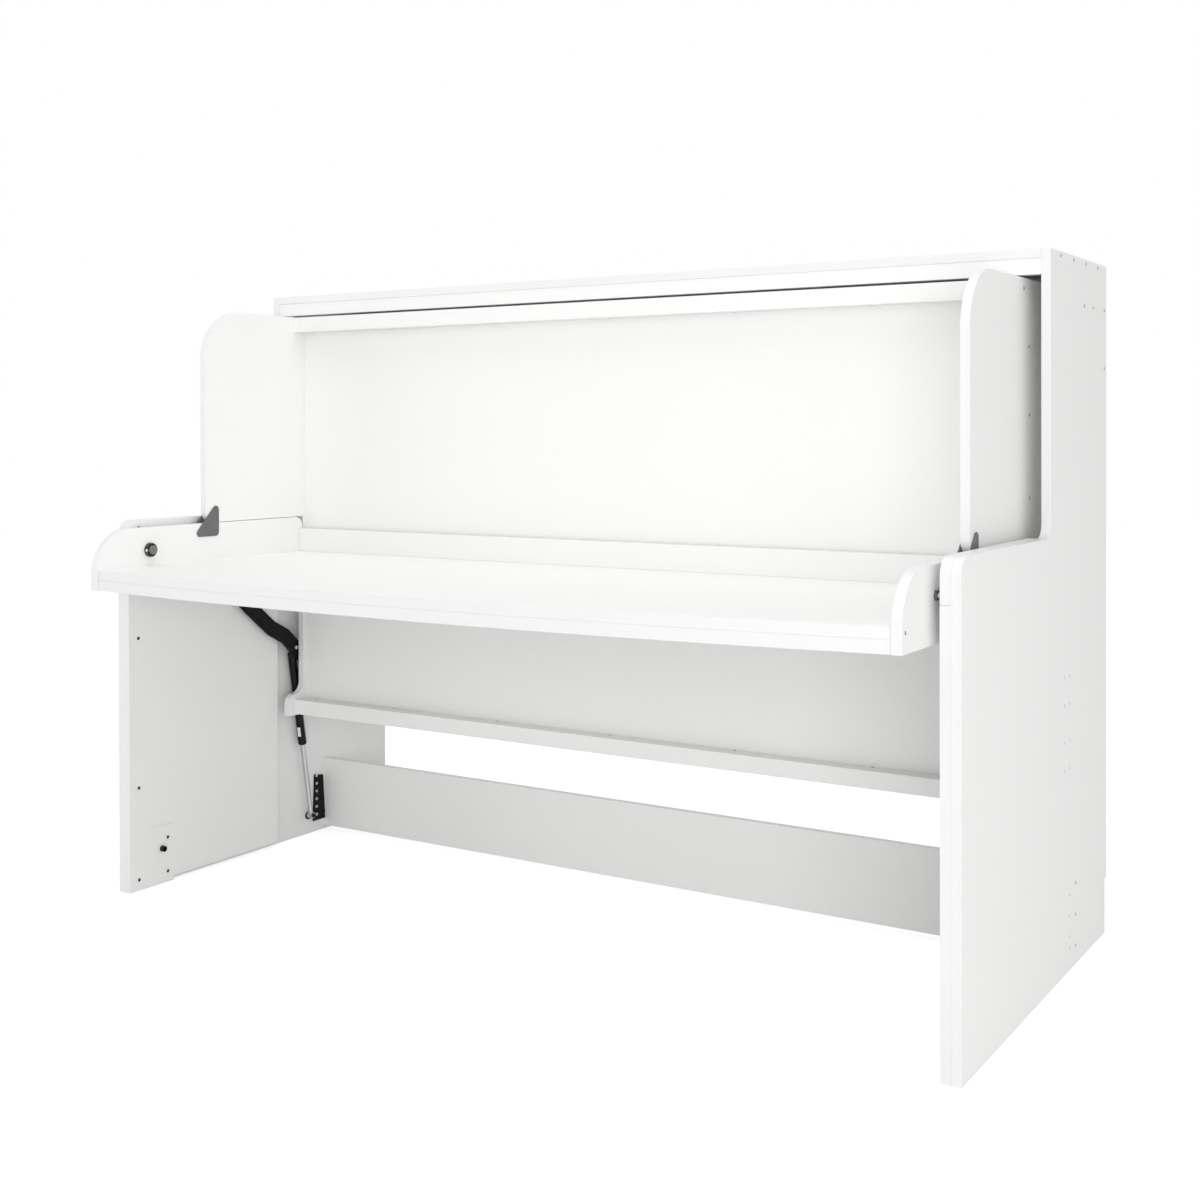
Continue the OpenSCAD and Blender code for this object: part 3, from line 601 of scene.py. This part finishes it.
def softened(
    node: str, width: float, thin: Thin | None, *finishes: Finish | MetalFinish
) -> bpy.types.Object:
    """Copies a CAD node, eases its sharp edges and stands it in the node's place.

    Args:
        node: The CAD node.
        width: Width of the eased edge in metres.
        thin: The axis a board is thin along, or None for a part with one finish.
        *finishes: One finish, or face and edge tape for a board.

    Returns:
        The piece that replaces the node.
    """
    source = frame["nodes"][node]
    mesh = source.data.copy()
    mesh.name = f"{node}_eased"
    for name in [a.name for a in mesh.attributes if a.name.startswith("custom_normal")]:
        mesh.attributes.remove(mesh.attributes[name])
    outwards(mesh, flatten=FLAT_ANGLE)
    body = body_of(source)[0]
    slot = next(s["material_slot"] for s in frame["record"]["subparts"] if s["node"] == node)
    piece = new_piece(f"{node}_eased", mesh, body, slot, *finishes)
    count = len(mesh.polygons)
    if thin is not None:
        normals = np.empty(count * 3, np.float32)
        mesh.polygons.foreach_get("normal", normals)
        edge = np.abs(normals.reshape(-1, 3)[:, thin.value]) < EDGE_SLANT
        mesh.polygons.foreach_set("material_index", edge.astype(np.int32))
    mesh.polygons.foreach_set("use_smooth", np.ones(count, bool))
    mesh.set_sharp_from_angle(angle=SHARP_ANGLE)
    bevel = piece.modifiers.new("eased_edges", "BEVEL")
    bevel.width = width
    bevel.segments = EASE_SEGMENTS
    bevel.limit_method = "ANGLE"
    bevel.angle_limit = SHARP_ANGLE
    bevel.use_clamp_overlap = False
    weigh = piece.modifiers.new("flat_faces_stay_flat", "WEIGHTED_NORMAL")
    weigh.keep_sharp = False
    weigh.weight = FACE_WEIGHT
    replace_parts(piece, node)
    return piece


# ---- Places that more than one class uses --------------------------------


@dataclass(frozen=True)
class Places:
    """Points of the mechanism in metres: x outwards from the middle, then (y, z)."""

    cheek_in: float = 0.951
    cheek_out: float = 0.970
    plate: float = 0.0025
    desk_pivot: tuple[float, float] = (REAR_Y - 0.7045, 0.8945)
    lock: tuple[float, float] = (REAR_Y - 0.912, 0.8095)
    spring_x: float = 0.991
    spring_foot: tuple[float, float] = (REAR_Y - 0.325, 0.053)

    def at(self, side: Side, x: float, yz: tuple[float, float]) -> Vector:
        """The point of one side at x from the middle."""
        return Vector((side.value * x, yz[0], yz[1]))


PLACES = Places()


# ---- The sub-assemblies --------------------------------------------------


@dataclass
class Boards:
    """The white boards of the carcass, the bed and the desk."""

    ease: float = 0.0009
    thin_x: tuple[str, ...] = (
        "side_panel_left", "side_panel_right", "wing_liner_left", "wing_liner_right",
        "liner_block_left", "liner_block_right", "end_board_left", "end_board_right",
        "desk_cheek_left", "desk_cheek_right",
    )
    thin_y: tuple[str, ...] = (
        "top_fascia", "rear_top_rail", "low_back_rail", "bed_panel", "desk_upstand",
        "upper_bed_rail", "lower_bed_rail",
    )
    thin_z: tuple[str, ...] = (
        "top_board", "stiffening_shelf", "desk_board", "desk_apron", "desk_rear_rail",
        "desk_battens",
    )

    def build(self) -> None:
        """Stands an eased and taped copy in the place of each CAD board."""
        for thin, nodes in ((Thin.X, self.thin_x), (Thin.Y, self.thin_y), (Thin.Z, self.thin_z)):
            for node in nodes:
                softened(node, self.ease, thin, BOARD, TAPE)


@dataclass
class Steelwork:
    """Black steel: arms, hinge plates, pivot plates and brackets, with eased edges."""

    ease: float = 0.0007
    fine_ease: float = 0.00035
    powder: tuple[str, ...] = (
        "levelling_arm_left", "levelling_arm_right",
        "bed_pivot_plate_left", "bed_pivot_plate_right",
        "arm_pivot_plate_left", "arm_pivot_plate_right",
        "spring_bracket_left", "spring_bracket_right",
    )
    plates: tuple[str, ...] = (
        "hinge_plate_inner_left", "hinge_plate_outer_left",
        "hinge_plate_inner_right", "hinge_plate_outer_right",
    )

    def build(self) -> None:
        """Eases each steel part and gives it its coat."""
        for node in self.powder:
            softened(node, self.ease, None, POWDER)
        for node in self.plates:
            softened(node, self.fine_ease, None, PLATE)
        # The sleeves' dark finish is partly painted shade of the cavity round the knob.
        softened("lock_sleeves", self.fine_ease, None, RING_AND_PAINTED_SHADE)


def dome(height: float, radius: float, end: float, points: int) -> list[tuple[float, float]]:
    """The profile of a domed head, from near its top to its rim.

    A point is (-height * sin(t), radius * cos(t)), with t from end down to 0.

    Args:
        height: Height of the dome in metres.
        radius: Its radius in metres.
        end: The angle where the dome is cut off at its top, in radians.
        points: Number of points.

    Returns:
        Points (along, radius), with the rim at along 0.
    """
    turns = np.linspace(0.0, end, points)[::-1]
    return [(-height * math.sin(t), radius * math.cos(t)) for t in turns]


@dataclass
class HingeBolts:
    """The bolts through the triangular plates: domed head inside, shank, flat rivet outside."""

    shank_r: float = 0.003
    head_r: float = 0.0052
    head_h: float = 0.0014
    dome_end: float = 1.45
    dome_points: int = 9
    rivet_h: float = 0.0005
    rivet_foot: float = 0.8
    rivet_top: float = 0.7
    pole_r: float = 0.0004
    around: int = 40
    drop: float = 0.055
    reach: float = 0.052

    def bolt(self, side: Side, yz: tuple[float, float], name: str) -> bpy.types.Mesh:
        """Turns one bolt.

        Args:
            side: The half it belongs to.
            yz: Its place.
            name: The mesh's name.

        Returns:
            A mesh that grips the cheek and both plates.
        """
        start = PLACES.cheek_in - PLACES.plate
        grip = PLACES.cheek_out + PLACES.plate - start
        end = grip + self.rivet_h
        profile = dome(self.head_h, self.head_r, self.dome_end, self.dome_points) + [
            (0.0, self.shank_r),
            (grip, self.shank_r),
            (grip, self.head_r * self.rivet_foot),
            (end, self.head_r * self.rivet_top),
            (end, self.pole_r),
        ]
        centre = PLACES.at(side, start, yz)
        return turned(name, profile, centre, Vector((side.value, 0, 0)), self.around)

    def build(self) -> None:
        """Puts the two lower bolts of each side in place of the CAD ones."""
        y, z = PLACES.desk_pivot
        spots = [(y, z - self.drop), (y - self.reach, z - self.drop)]
        name = "hinge_bolts_domed"
        mesh = joined(name, [self.bolt(side, yz, "bolt") for side in Side for yz in spots])
        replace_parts(new_piece(name, mesh, "desk", "black_steel", PLATE), "hinge_plate_bolts")


def hexagon(angle: np.ndarray, round_off: float = 0.03) -> np.ndarray:
    """The radius of a hexagon of corner radius 1 with eased corners, at each angle.

    It is cos(30 deg) / cos(t), with t the angle from the middle of the nearest flat, and never
    more than 1 less the easing. The corners lie at 0, 60, 120 degrees and so on.

    Args:
        angle: Angles in radians.
        round_off: How much the corners are cut back, as a share of the radius.

    Returns:
        The radii.
    """
    from_flat = angle % (math.pi / 3) - math.pi / 6
    return np.minimum(math.cos(math.pi / 6) / np.cos(from_flat), 1.0 - round_off)


def swept_hexagon(
    name: str,
    profile: list[tuple[float, float, float]],
    centre: Vector,
    outward: float,
    start: float = math.pi / 6,
    around: int = 72,
) -> bpy.types.Mesh:
    """Carries a profile round an axis along X, as a hexagon outside and as a circle inside.

    A point of the profile is (along, radius, share), and its ring is centre + (outward * along,
    r * sin(angle), r * cos(angle)) with r = radius * (share * hexagon + 1 - share).

    Args:
        name: The mesh's name.
        profile: Points (along, radius, share of the hexagon) in metres.
        centre: Where along is 0.
        outward: 1 or -1, the direction of along.
        start: The angle of the first corner from +Z, in radians.
        around: Places round a ring.

    Returns:
        The mesh, open between its first and last ring if those differ.
    """
    rows = np.array(profile)
    angle = np.linspace(0.0, 2.0 * math.pi, around, endpoint=False)
    shape = rows[:, 2, None] * hexagon(angle)[None, :] + 1.0 - rows[:, 2, None]
    radius = rows[:, 1, None] * shape
    turn = angle + start
    points = np.stack(
        [
            np.repeat(outward * rows[:, 0, None], angle.size, axis=1),
            radius * np.sin(turn)[None, :],
            radius * np.cos(turn)[None, :],
        ],
        axis=-1,
    )
    closed = bool(np.allclose(rows[0], rows[-1]))
    return grid_mesh(name, points + np.array(centre), capped=not closed)


@dataclass
class PullKnob:
    """A hexagonal pull knob with a dished face, and a small domed screw in the ring beside it that
    is a painted highlight: a bright part where the ring only shows a highlight.
    """

    radius: float = 0.012
    height: float = 0.008
    face_x: float = 0.9352
    dish: float = 0.0007
    pole_r: float = 0.0003
    pin_r: float = 0.0051
    bore_depth: float = 0.002
    # The screw below is a painted highlight: a bright domed part where the ring only shows a
    # highlight.
    screw_x: float = 0.943
    screw_reach: float = 0.0153
    screw_drop: float = 0.0005
    screw_r: float = 0.0034
    screw_rise: float = 0.45
    screw_shank: float = 0.0015
    dome_end: float = 1.5
    dome_points: int = 7
    around: int = 24

    def build(self, side: Side) -> None:
        """Makes the knob and the highlight screw of one side; the screw is a painted highlight made
        as a part.

        Args:
            side: The half they belong to.
        """
        self.knob(side)
        self.screw(side)

    def knob(self, side: Side) -> None:
        """Sweeps the knob and stands it in the CAD knob's place.

        Args:
            side: The half it belongs to.
        """
        r, h = self.radius, self.height
        bore = h - self.bore_depth
        # depth below the face's rim, radius, share of the hexagon
        profile = [
            (self.dish, self.pole_r, 0.0), (0.0006, r * 0.45, 0.5), (0.0, r * 0.74, 1.0),
            (0.0, r * 0.80, 1.0), (0.0005, r * 0.88, 1.0), (0.0016, r * 0.97, 1.0),
            (0.0026, r, 1.0), (h * 0.85, r, 1.0), (h, r * 0.96, 1.0),
            (h, self.pin_r, 0.0), (bore, self.pin_r, 0.0), (bore, self.pole_r, 0.0),
        ]
        name = f"pull_knob_{side.tag}"
        mesh = swept_hexagon(name, profile, PLACES.at(side, self.face_x, PLACES.lock), side.value)
        # The knob's grey finish is partly painted reflection.
        piece = new_piece(name, mesh, f"lock_{side.tag}", "black_plastic", KNOB_AND_REFLECTION)
        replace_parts(piece, f"lock_knob_{side.tag}")

    def screw(self, side: Side) -> None:
        """Turns the domed zinc screw in the ring, in front of the knob: a painted highlight, a
        bright part put where the ring only shows a highlight.

        Args:
            side: The half it belongs to.
        """
        rise = self.screw_r * self.screw_rise
        profile = dome(rise, self.screw_r, self.dome_end, self.dome_points)
        profile.append((self.screw_shank, self.screw_r))
        y, z = PLACES.lock
        centre = PLACES.at(side, self.screw_x, (y - self.screw_reach, z - self.screw_drop))
        name = f"ring_screw_{side.tag}"
        mesh = turned(name, profile, centre, Vector((side.value, 0, 0)), self.around)
        new_piece(name, mesh, "desk", "bright_steel", ZINC)


@dataclass
class LockNuts:
    """The dark hexagon nuts that hold the lock sleeves on the outer faces of the cheeks."""

    corner_r: float = 0.010
    inner_r: float = 0.00703
    height: float = 0.0046
    seat_bevel: float = 0.0005
    seat_share: float = 0.98
    top_bevel: float = 0.0008
    top_share: float = 0.93

    def build(self) -> None:
        """Sweeps both nuts with bevelled corners and stands them in the CAD nuts' place."""
        r, h = self.corner_r, self.height
        profile = [
            (0.0, self.inner_r, 0.0), (0.0, r * self.seat_share, 1.0), (self.seat_bevel, r, 1.0),
            (h - self.top_bevel, r, 1.0), (h, r * self.top_share, 1.0), (h, self.inner_r, 0.0),
            (0.0, self.inner_r, 0.0),
        ]
        nuts = []
        for side in Side:
            centre = PLACES.at(side, PLACES.cheek_out, PLACES.lock)
            nuts.append(swept_hexagon("nut", profile, centre, side.value))
        name = "lock_nuts_bevelled"
        piece = new_piece(name, joined(name, nuts), "desk", "dark_screw_steel", NUT)
        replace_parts(piece, "lock_nuts")


@dataclass
class GasSpring:
    """Dress of one gas spring: guide ring, bead and blank label."""

    tube_r: float = 0.011
    rod_r: float = 0.006
    ring_play: float = 0.0008
    ring_below: float = 0.003
    ring_above: float = 0.0004
    ring_low_r: float = 0.0088
    ring_high_r: float = 0.0103
    ring_ease: float = 0.0006
    bead_from: float = 0.0105
    bead_to: float = 0.0140
    bead_slope: float = 0.0005
    bead_rise: float = 0.0005
    bead_root: float = 0.0004
    label_from: float = 0.022
    label_length: float = 0.025
    label_arc: float = math.radians(47)
    label_turn: float = math.radians(13)
    label_under: float = 0.0001
    label_over: float = 0.00018
    label_places: int = 17

    def axis(self, side: Side) -> Vector:
        """The direction from the lower pin up the spring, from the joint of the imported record."""
        joints = frame["record"]["behaviour"]["joints"]
        stroke = next(j for j in joints if j["name"] == f"spring_stroke_{side.tag}")
        return Vector(stroke["axis"]).normalized()

    def build(self, side: Side) -> None:
        """Adds the pieces of one side.

        Args:
            side: The half it belongs to.
        """
        foot = PLACES.at(side, PLACES.spring_x, PLACES.spring_foot)
        axis = self.axis(side)
        tube = frame["nodes"][f"gas_tube_{side.tag}"].data
        low = min((Vector(v.co) - foot).dot(axis) for v in tube.vertices)
        self.guide_ring(side, foot, axis, low)
        self.bead(side, foot, axis, low)
        self.label(side, foot, axis, low)

    def guide_ring(self, side: Side, foot: Vector, axis: Vector, low: float) -> None:
        """Turns the plastic ring that closes the tube round the rod.

        Args:
            side: The half it belongs to.
            foot: The lower pin's centre.
            axis: The spring's direction.
            low: Where the tube starts along the axis.
        """
        start, end = low - self.ring_below, low + self.ring_above
        bore = self.rod_r + self.ring_play
        profile = [(start, bore), (start, self.ring_low_r), (end, self.ring_high_r), (end, bore)]
        name = f"spring_guide_ring_{side.tag}"
        mesh = turned(name, eased(profile, self.ring_ease), foot, axis)
        new_piece(name, mesh, f"spring_tube_{side.tag}", "black_plastic", PLASTIC)

    def bead(self, side: Side, foot: Vector, axis: Vector, low: float) -> None:
        """Turns the bead rolled into the tube above the ring.

        Args:
            side: The half it belongs to.
            foot: The lower pin's centre.
            axis: The spring's direction.
            low: Where the tube starts along the axis.
        """
        start, end = low + self.bead_from, low + self.bead_to
        root, crest = self.tube_r - self.bead_root, self.tube_r + self.bead_rise
        slope = self.bead_slope
        profile = [(start, root), (start + slope, crest), (end - slope, crest), (end, root)]
        name = f"spring_bead_{side.tag}"
        mesh = turned(name, eased(profile, self.bead_root), foot, axis)
        new_piece(name, mesh, f"spring_tube_{side.tag}", "black_steel", TUBE)

    def label(self, side: Side, foot: Vector, axis: Vector, low: float) -> None:
        """Wraps a blank label partly round the tube.

        A point is foot + along * axis + radius * (cos(turn) * front + sin(turn) * side), with
        turn over the label's arc, and the radius just above the tube's inside and outside.

        Args:
            side: The half it belongs to.
            foot: The lower pin's centre.
            axis: The spring's direction.
            low: Where the tube starts along the axis.
        """
        inward = Vector((-side.value, 0, 0))
        front = inward.cross(axis).normalized()
        if front.y > 0:
            front = -front
        half = self.label_arc / 2
        turn = np.linspace(-half, half, self.label_places) + self.label_turn
        spokes = np.outer(np.cos(turn), front) + np.outer(np.sin(turn), inward)
        z0, z1 = low + self.label_from, low + self.label_from + self.label_length
        inner, outer = self.tube_r - self.label_under, self.tube_r + self.label_over
        loop = [(z0, inner), (z0, outer), (z1, outer), (z1, inner), (z0, inner)]
        points = np.array([np.array(foot) + z * np.array(axis) + r * spokes for z, r in loop])
        mesh = bpy.data.meshes.new("label")
        rings, around, _ = points.shape
        at = np.arange(rings * around).reshape(rings, around)
        quads = np.stack([at[:-1, :-1], at[:-1, 1:], at[1:, 1:], at[1:, :-1]], axis=-1)
        ends = [at[:-1, 0].tolist(), at[:-1, -1][::-1].tolist()]
        mesh.from_pydata(points.reshape(-1, 3), [], quads.reshape(-1, 4).tolist() + ends)
        outwards(mesh)
        name = f"spring_label_{side.tag}"
        new_piece(name, mesh, f"spring_tube_{side.tag}", "white_board", LABEL)


@dataclass
class SmallMetal:
    """Nodes that keep their CAD shape and only get a finish."""

    finishes: dict[str, Finish | MetalFinish] = field(
        default_factory=lambda: {
            "lock_bushes": PLASTIC, "bed_pivot_bushes": PLASTIC, "desk_pivot_bushes": PLASTIC,
            "desk_pivot_bolts": PLATE, "arm_studs": POWDER,
            "gas_tube_left": TUBE, "gas_tube_right": TUBE,
            "gas_rod_left": ROD, "gas_rod_right": ROD,
            "plate_screws": ZINC, "lock_pin_left": ZINC, "lock_pin_right": ZINC,
            "spring_bolt_left": ZINC, "spring_bolt_right": ZINC,
            "carcass_screws": SCREW, "liner_screws": BROWNED, "bed_rail_screws": SCREW,
            "end_board_screws": SCREW, "cheek_screws": SCREW,
        }
    )

    def build(self) -> None:
        """Puts each node's finish into its material slots."""
        for node, finish in self.finishes.items():
            piece = frame["nodes"][node]
            for place in range(max(1, len(piece.material_slots))):
                if place >= len(piece.data.materials):
                    piece.data.materials.append(finish.material())
                else:
                    piece.data.materials[place] = finish.material()
            log.info("%s: %s", node, finish.name)


# ---- The studio ----------------------------------------------------------


def any_ray(tree: bpy.types.NodeTree, *kinds: str) -> bpy.types.NodeSocket:
    """A mask that is 1 for rays of any of the given kinds.

    Args:
        tree: The tree it goes in.
        *kinds: Outputs of the Light Path node.

    Returns:
        The mask.
    """
    path = tree.nodes.new("ShaderNodeLightPath")
    mask = path.outputs[kinds[0]]
    for kind in kinds[1:]:
        mask = arithmetic(tree, "MAXIMUM", mask, path.outputs[kind])
    return mask


@dataclass(frozen=True)
class Lamp:
    """A soft square lamp: its place, the point it faces, its width and its power in watts."""

    name: str
    at: tuple[float, float, float]
    aim: tuple[float, float, float]
    size: float
    power: float

    def build(self) -> None:
        """Hangs the lamp."""
        data = bpy.data.lights.new(self.name, "AREA")
        data.shape = "SQUARE"
        data.size = self.size
        data.energy = self.power
        lamp = bpy.data.objects.new(self.name, data)
        bpy.context.scene.collection.objects.link(lamp)
        lamp.location = self.at
        facing = Vector(self.aim) - Vector(self.at)
        lamp.rotation_euler = facing.to_track_quat("-Z", "Y").to_euler()


LAMPS = (
    Lamp("key", at=(3.0, -3.9, 1.05), aim=(0.0, 0.2, 0.5), size=2.0, power=58.0),
    Lamp("left", at=(-4.5, -3.2, 1.7), aim=(0.2, 0.1, 0.7), size=3.0, power=32.0),
    Lamp("front", at=(0.2, -4.8, 3.4), aim=(0.0, 0.2, 0.8), size=3.0, power=18.0),
    Lamp("right", at=(4.4, -2.0, 1.8), aim=(0.3, 0.0, 0.7), size=2.0, power=14.0),
    Lamp("top", at=(0.2, -0.5, 4.2), aim=(0.1, 0.1, 0.8), size=2.5, power=38.0),
)


@dataclass
class Studio:
    """Floor, world, lamps and the camera at the photograph's viewing angle."""

    camera_at: tuple[float, float, float] = (1.8682, -2.8292, 1.0907)
    heading: float = math.radians(32.2448)
    pitch: float = math.radians(-0.3459)
    roll: float = math.radians(-0.1381)
    focal_px: float = 1531.9
    centre_row: float = 438.41
    picture: float = 1200.0
    sensor: float = 36.0
    clip: tuple[float, float] = (0.05, 100.0)
    world_light: float = 0.62
    floor_glow: float = 0.55
    floor_white: float = 0.90
    floor_roughness: float = 0.9
    floor_specular: float = 0.1
    floor_r: tuple[float, float] = (0.001, 14.0)
    floor_places: int = 96
    floor_z: float = -0.0005

    def camera(self) -> None:
        """Sets the camera: ahead, right and up from its heading, pitch and roll, and its shift."""
        flat = Vector((-math.sin(self.heading), math.cos(self.heading), 0))
        right = Vector((math.cos(self.heading), math.sin(self.heading), 0))
        ahead = flat * math.cos(self.pitch) + Vector((0, 0, 1)) * math.sin(self.pitch)
        up = -flat * math.sin(self.pitch) + Vector((0, 0, 1)) * math.cos(self.pitch)
        across = right * math.cos(self.roll) + up * math.sin(self.roll)
        above = -right * math.sin(self.roll) + up * math.cos(self.roll)
        data = bpy.data.cameras.new("studio_camera")
        data.sensor_width = self.sensor
        data.lens = self.focal_px / self.picture * self.sensor
        data.shift_y = (self.centre_row - self.picture / 2) / self.picture
        data.clip_start, data.clip_end = self.clip
        camera = bpy.data.objects.new("studio_camera", data)
        bpy.context.scene.collection.objects.link(camera)
        turn = Matrix((across, above, -ahead)).transposed().to_4x4()
        camera.matrix_world = Matrix.Translation(Vector(self.camera_at)) @ turn
        bpy.context.scene.camera = camera

    def world(self) -> None:
        """Lights the object from a pale world that the camera, gloss and glass see as white."""
        world = bpy.data.worlds.new("studio")
        world.use_nodes = True
        tree = world.node_tree
        back = tree.nodes["Background"]
        back.inputs["Color"].default_value = (1.0, 1.0, 1.0, 1.0)
        seen = any_ray(tree, "Is Camera Ray", "Is Glossy Ray", "Is Transmission Ray")
        extra = arithmetic(tree, "MULTIPLY", seen, 1.0 - self.world_light)
        link(tree, arithmetic(tree, "ADD", extra, self.world_light), back.inputs["Strength"])
        bpy.context.scene.world = world

    def floor(self) -> None:
        """Makes a round white floor that keeps the shadow and is white where nothing shades it."""
        ring = np.linspace(0.0, 2.0 * math.pi, self.floor_places, endpoint=False)
        radii = np.array(self.floor_r)[:, None]
        x, y = radii * np.cos(ring), radii * np.sin(ring)
        points = np.stack([x, y, np.full(x.shape, self.floor_z)], axis=-1)
        mesh = bpy.data.meshes.new("studio_floor")
        at = np.arange(x.size).reshape(x.shape)
        ahead = np.roll(at, -1, axis=1)
        quads = np.stack([at[0], at[1], ahead[1], ahead[0]], axis=-1)
        mesh.from_pydata(points.reshape(-1, 3), [], quads.tolist() + [at[0].tolist()])
        floor = bpy.data.objects.new("studio_floor", mesh)
        bpy.context.scene.collection.objects.link(floor)
        made = bpy.data.materials.new("studio_floor")
        made.use_nodes = True
        tree = made.node_tree
        shader = tree.nodes["Principled BSDF"]
        white = self.floor_white
        shader.inputs["Base Color"].default_value = (white, white, white, 1.0)
        shader.inputs["Roughness"].default_value = self.floor_roughness
        shader.inputs["Specular IOR Level"].default_value = self.floor_specular
        shader.inputs["Emission Color"].default_value = (1.0, 1.0, 1.0, 1.0)
        seen = any_ray(tree, "Is Camera Ray", "Is Glossy Ray")
        glow = arithmetic(tree, "MULTIPLY", seen, self.floor_glow)
        link(tree, glow, shader.inputs["Emission Strength"])
        mesh.materials.append(made)

    def build(self) -> None:
        """Sets up the whole studio."""
        bpy.context.scene.view_settings.view_transform = "Standard"
        self.camera()
        self.world()
        self.floor()
        for lamp in LAMPS:
            lamp.build()


def main() -> None:
    """Builds the object piece by piece."""
    logging.basicConfig(level=logging.INFO, format="%(name)s %(message)s")
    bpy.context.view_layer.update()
    Studio().build()
    Boards().build()
    Steelwork().build()
    SmallMetal().build()
    HingeBolts().build()
    LockNuts().build()
    for side in Side:
        PullKnob().build(side)
        GasSpring().build(side)


if __name__ == "__main__":
    main()
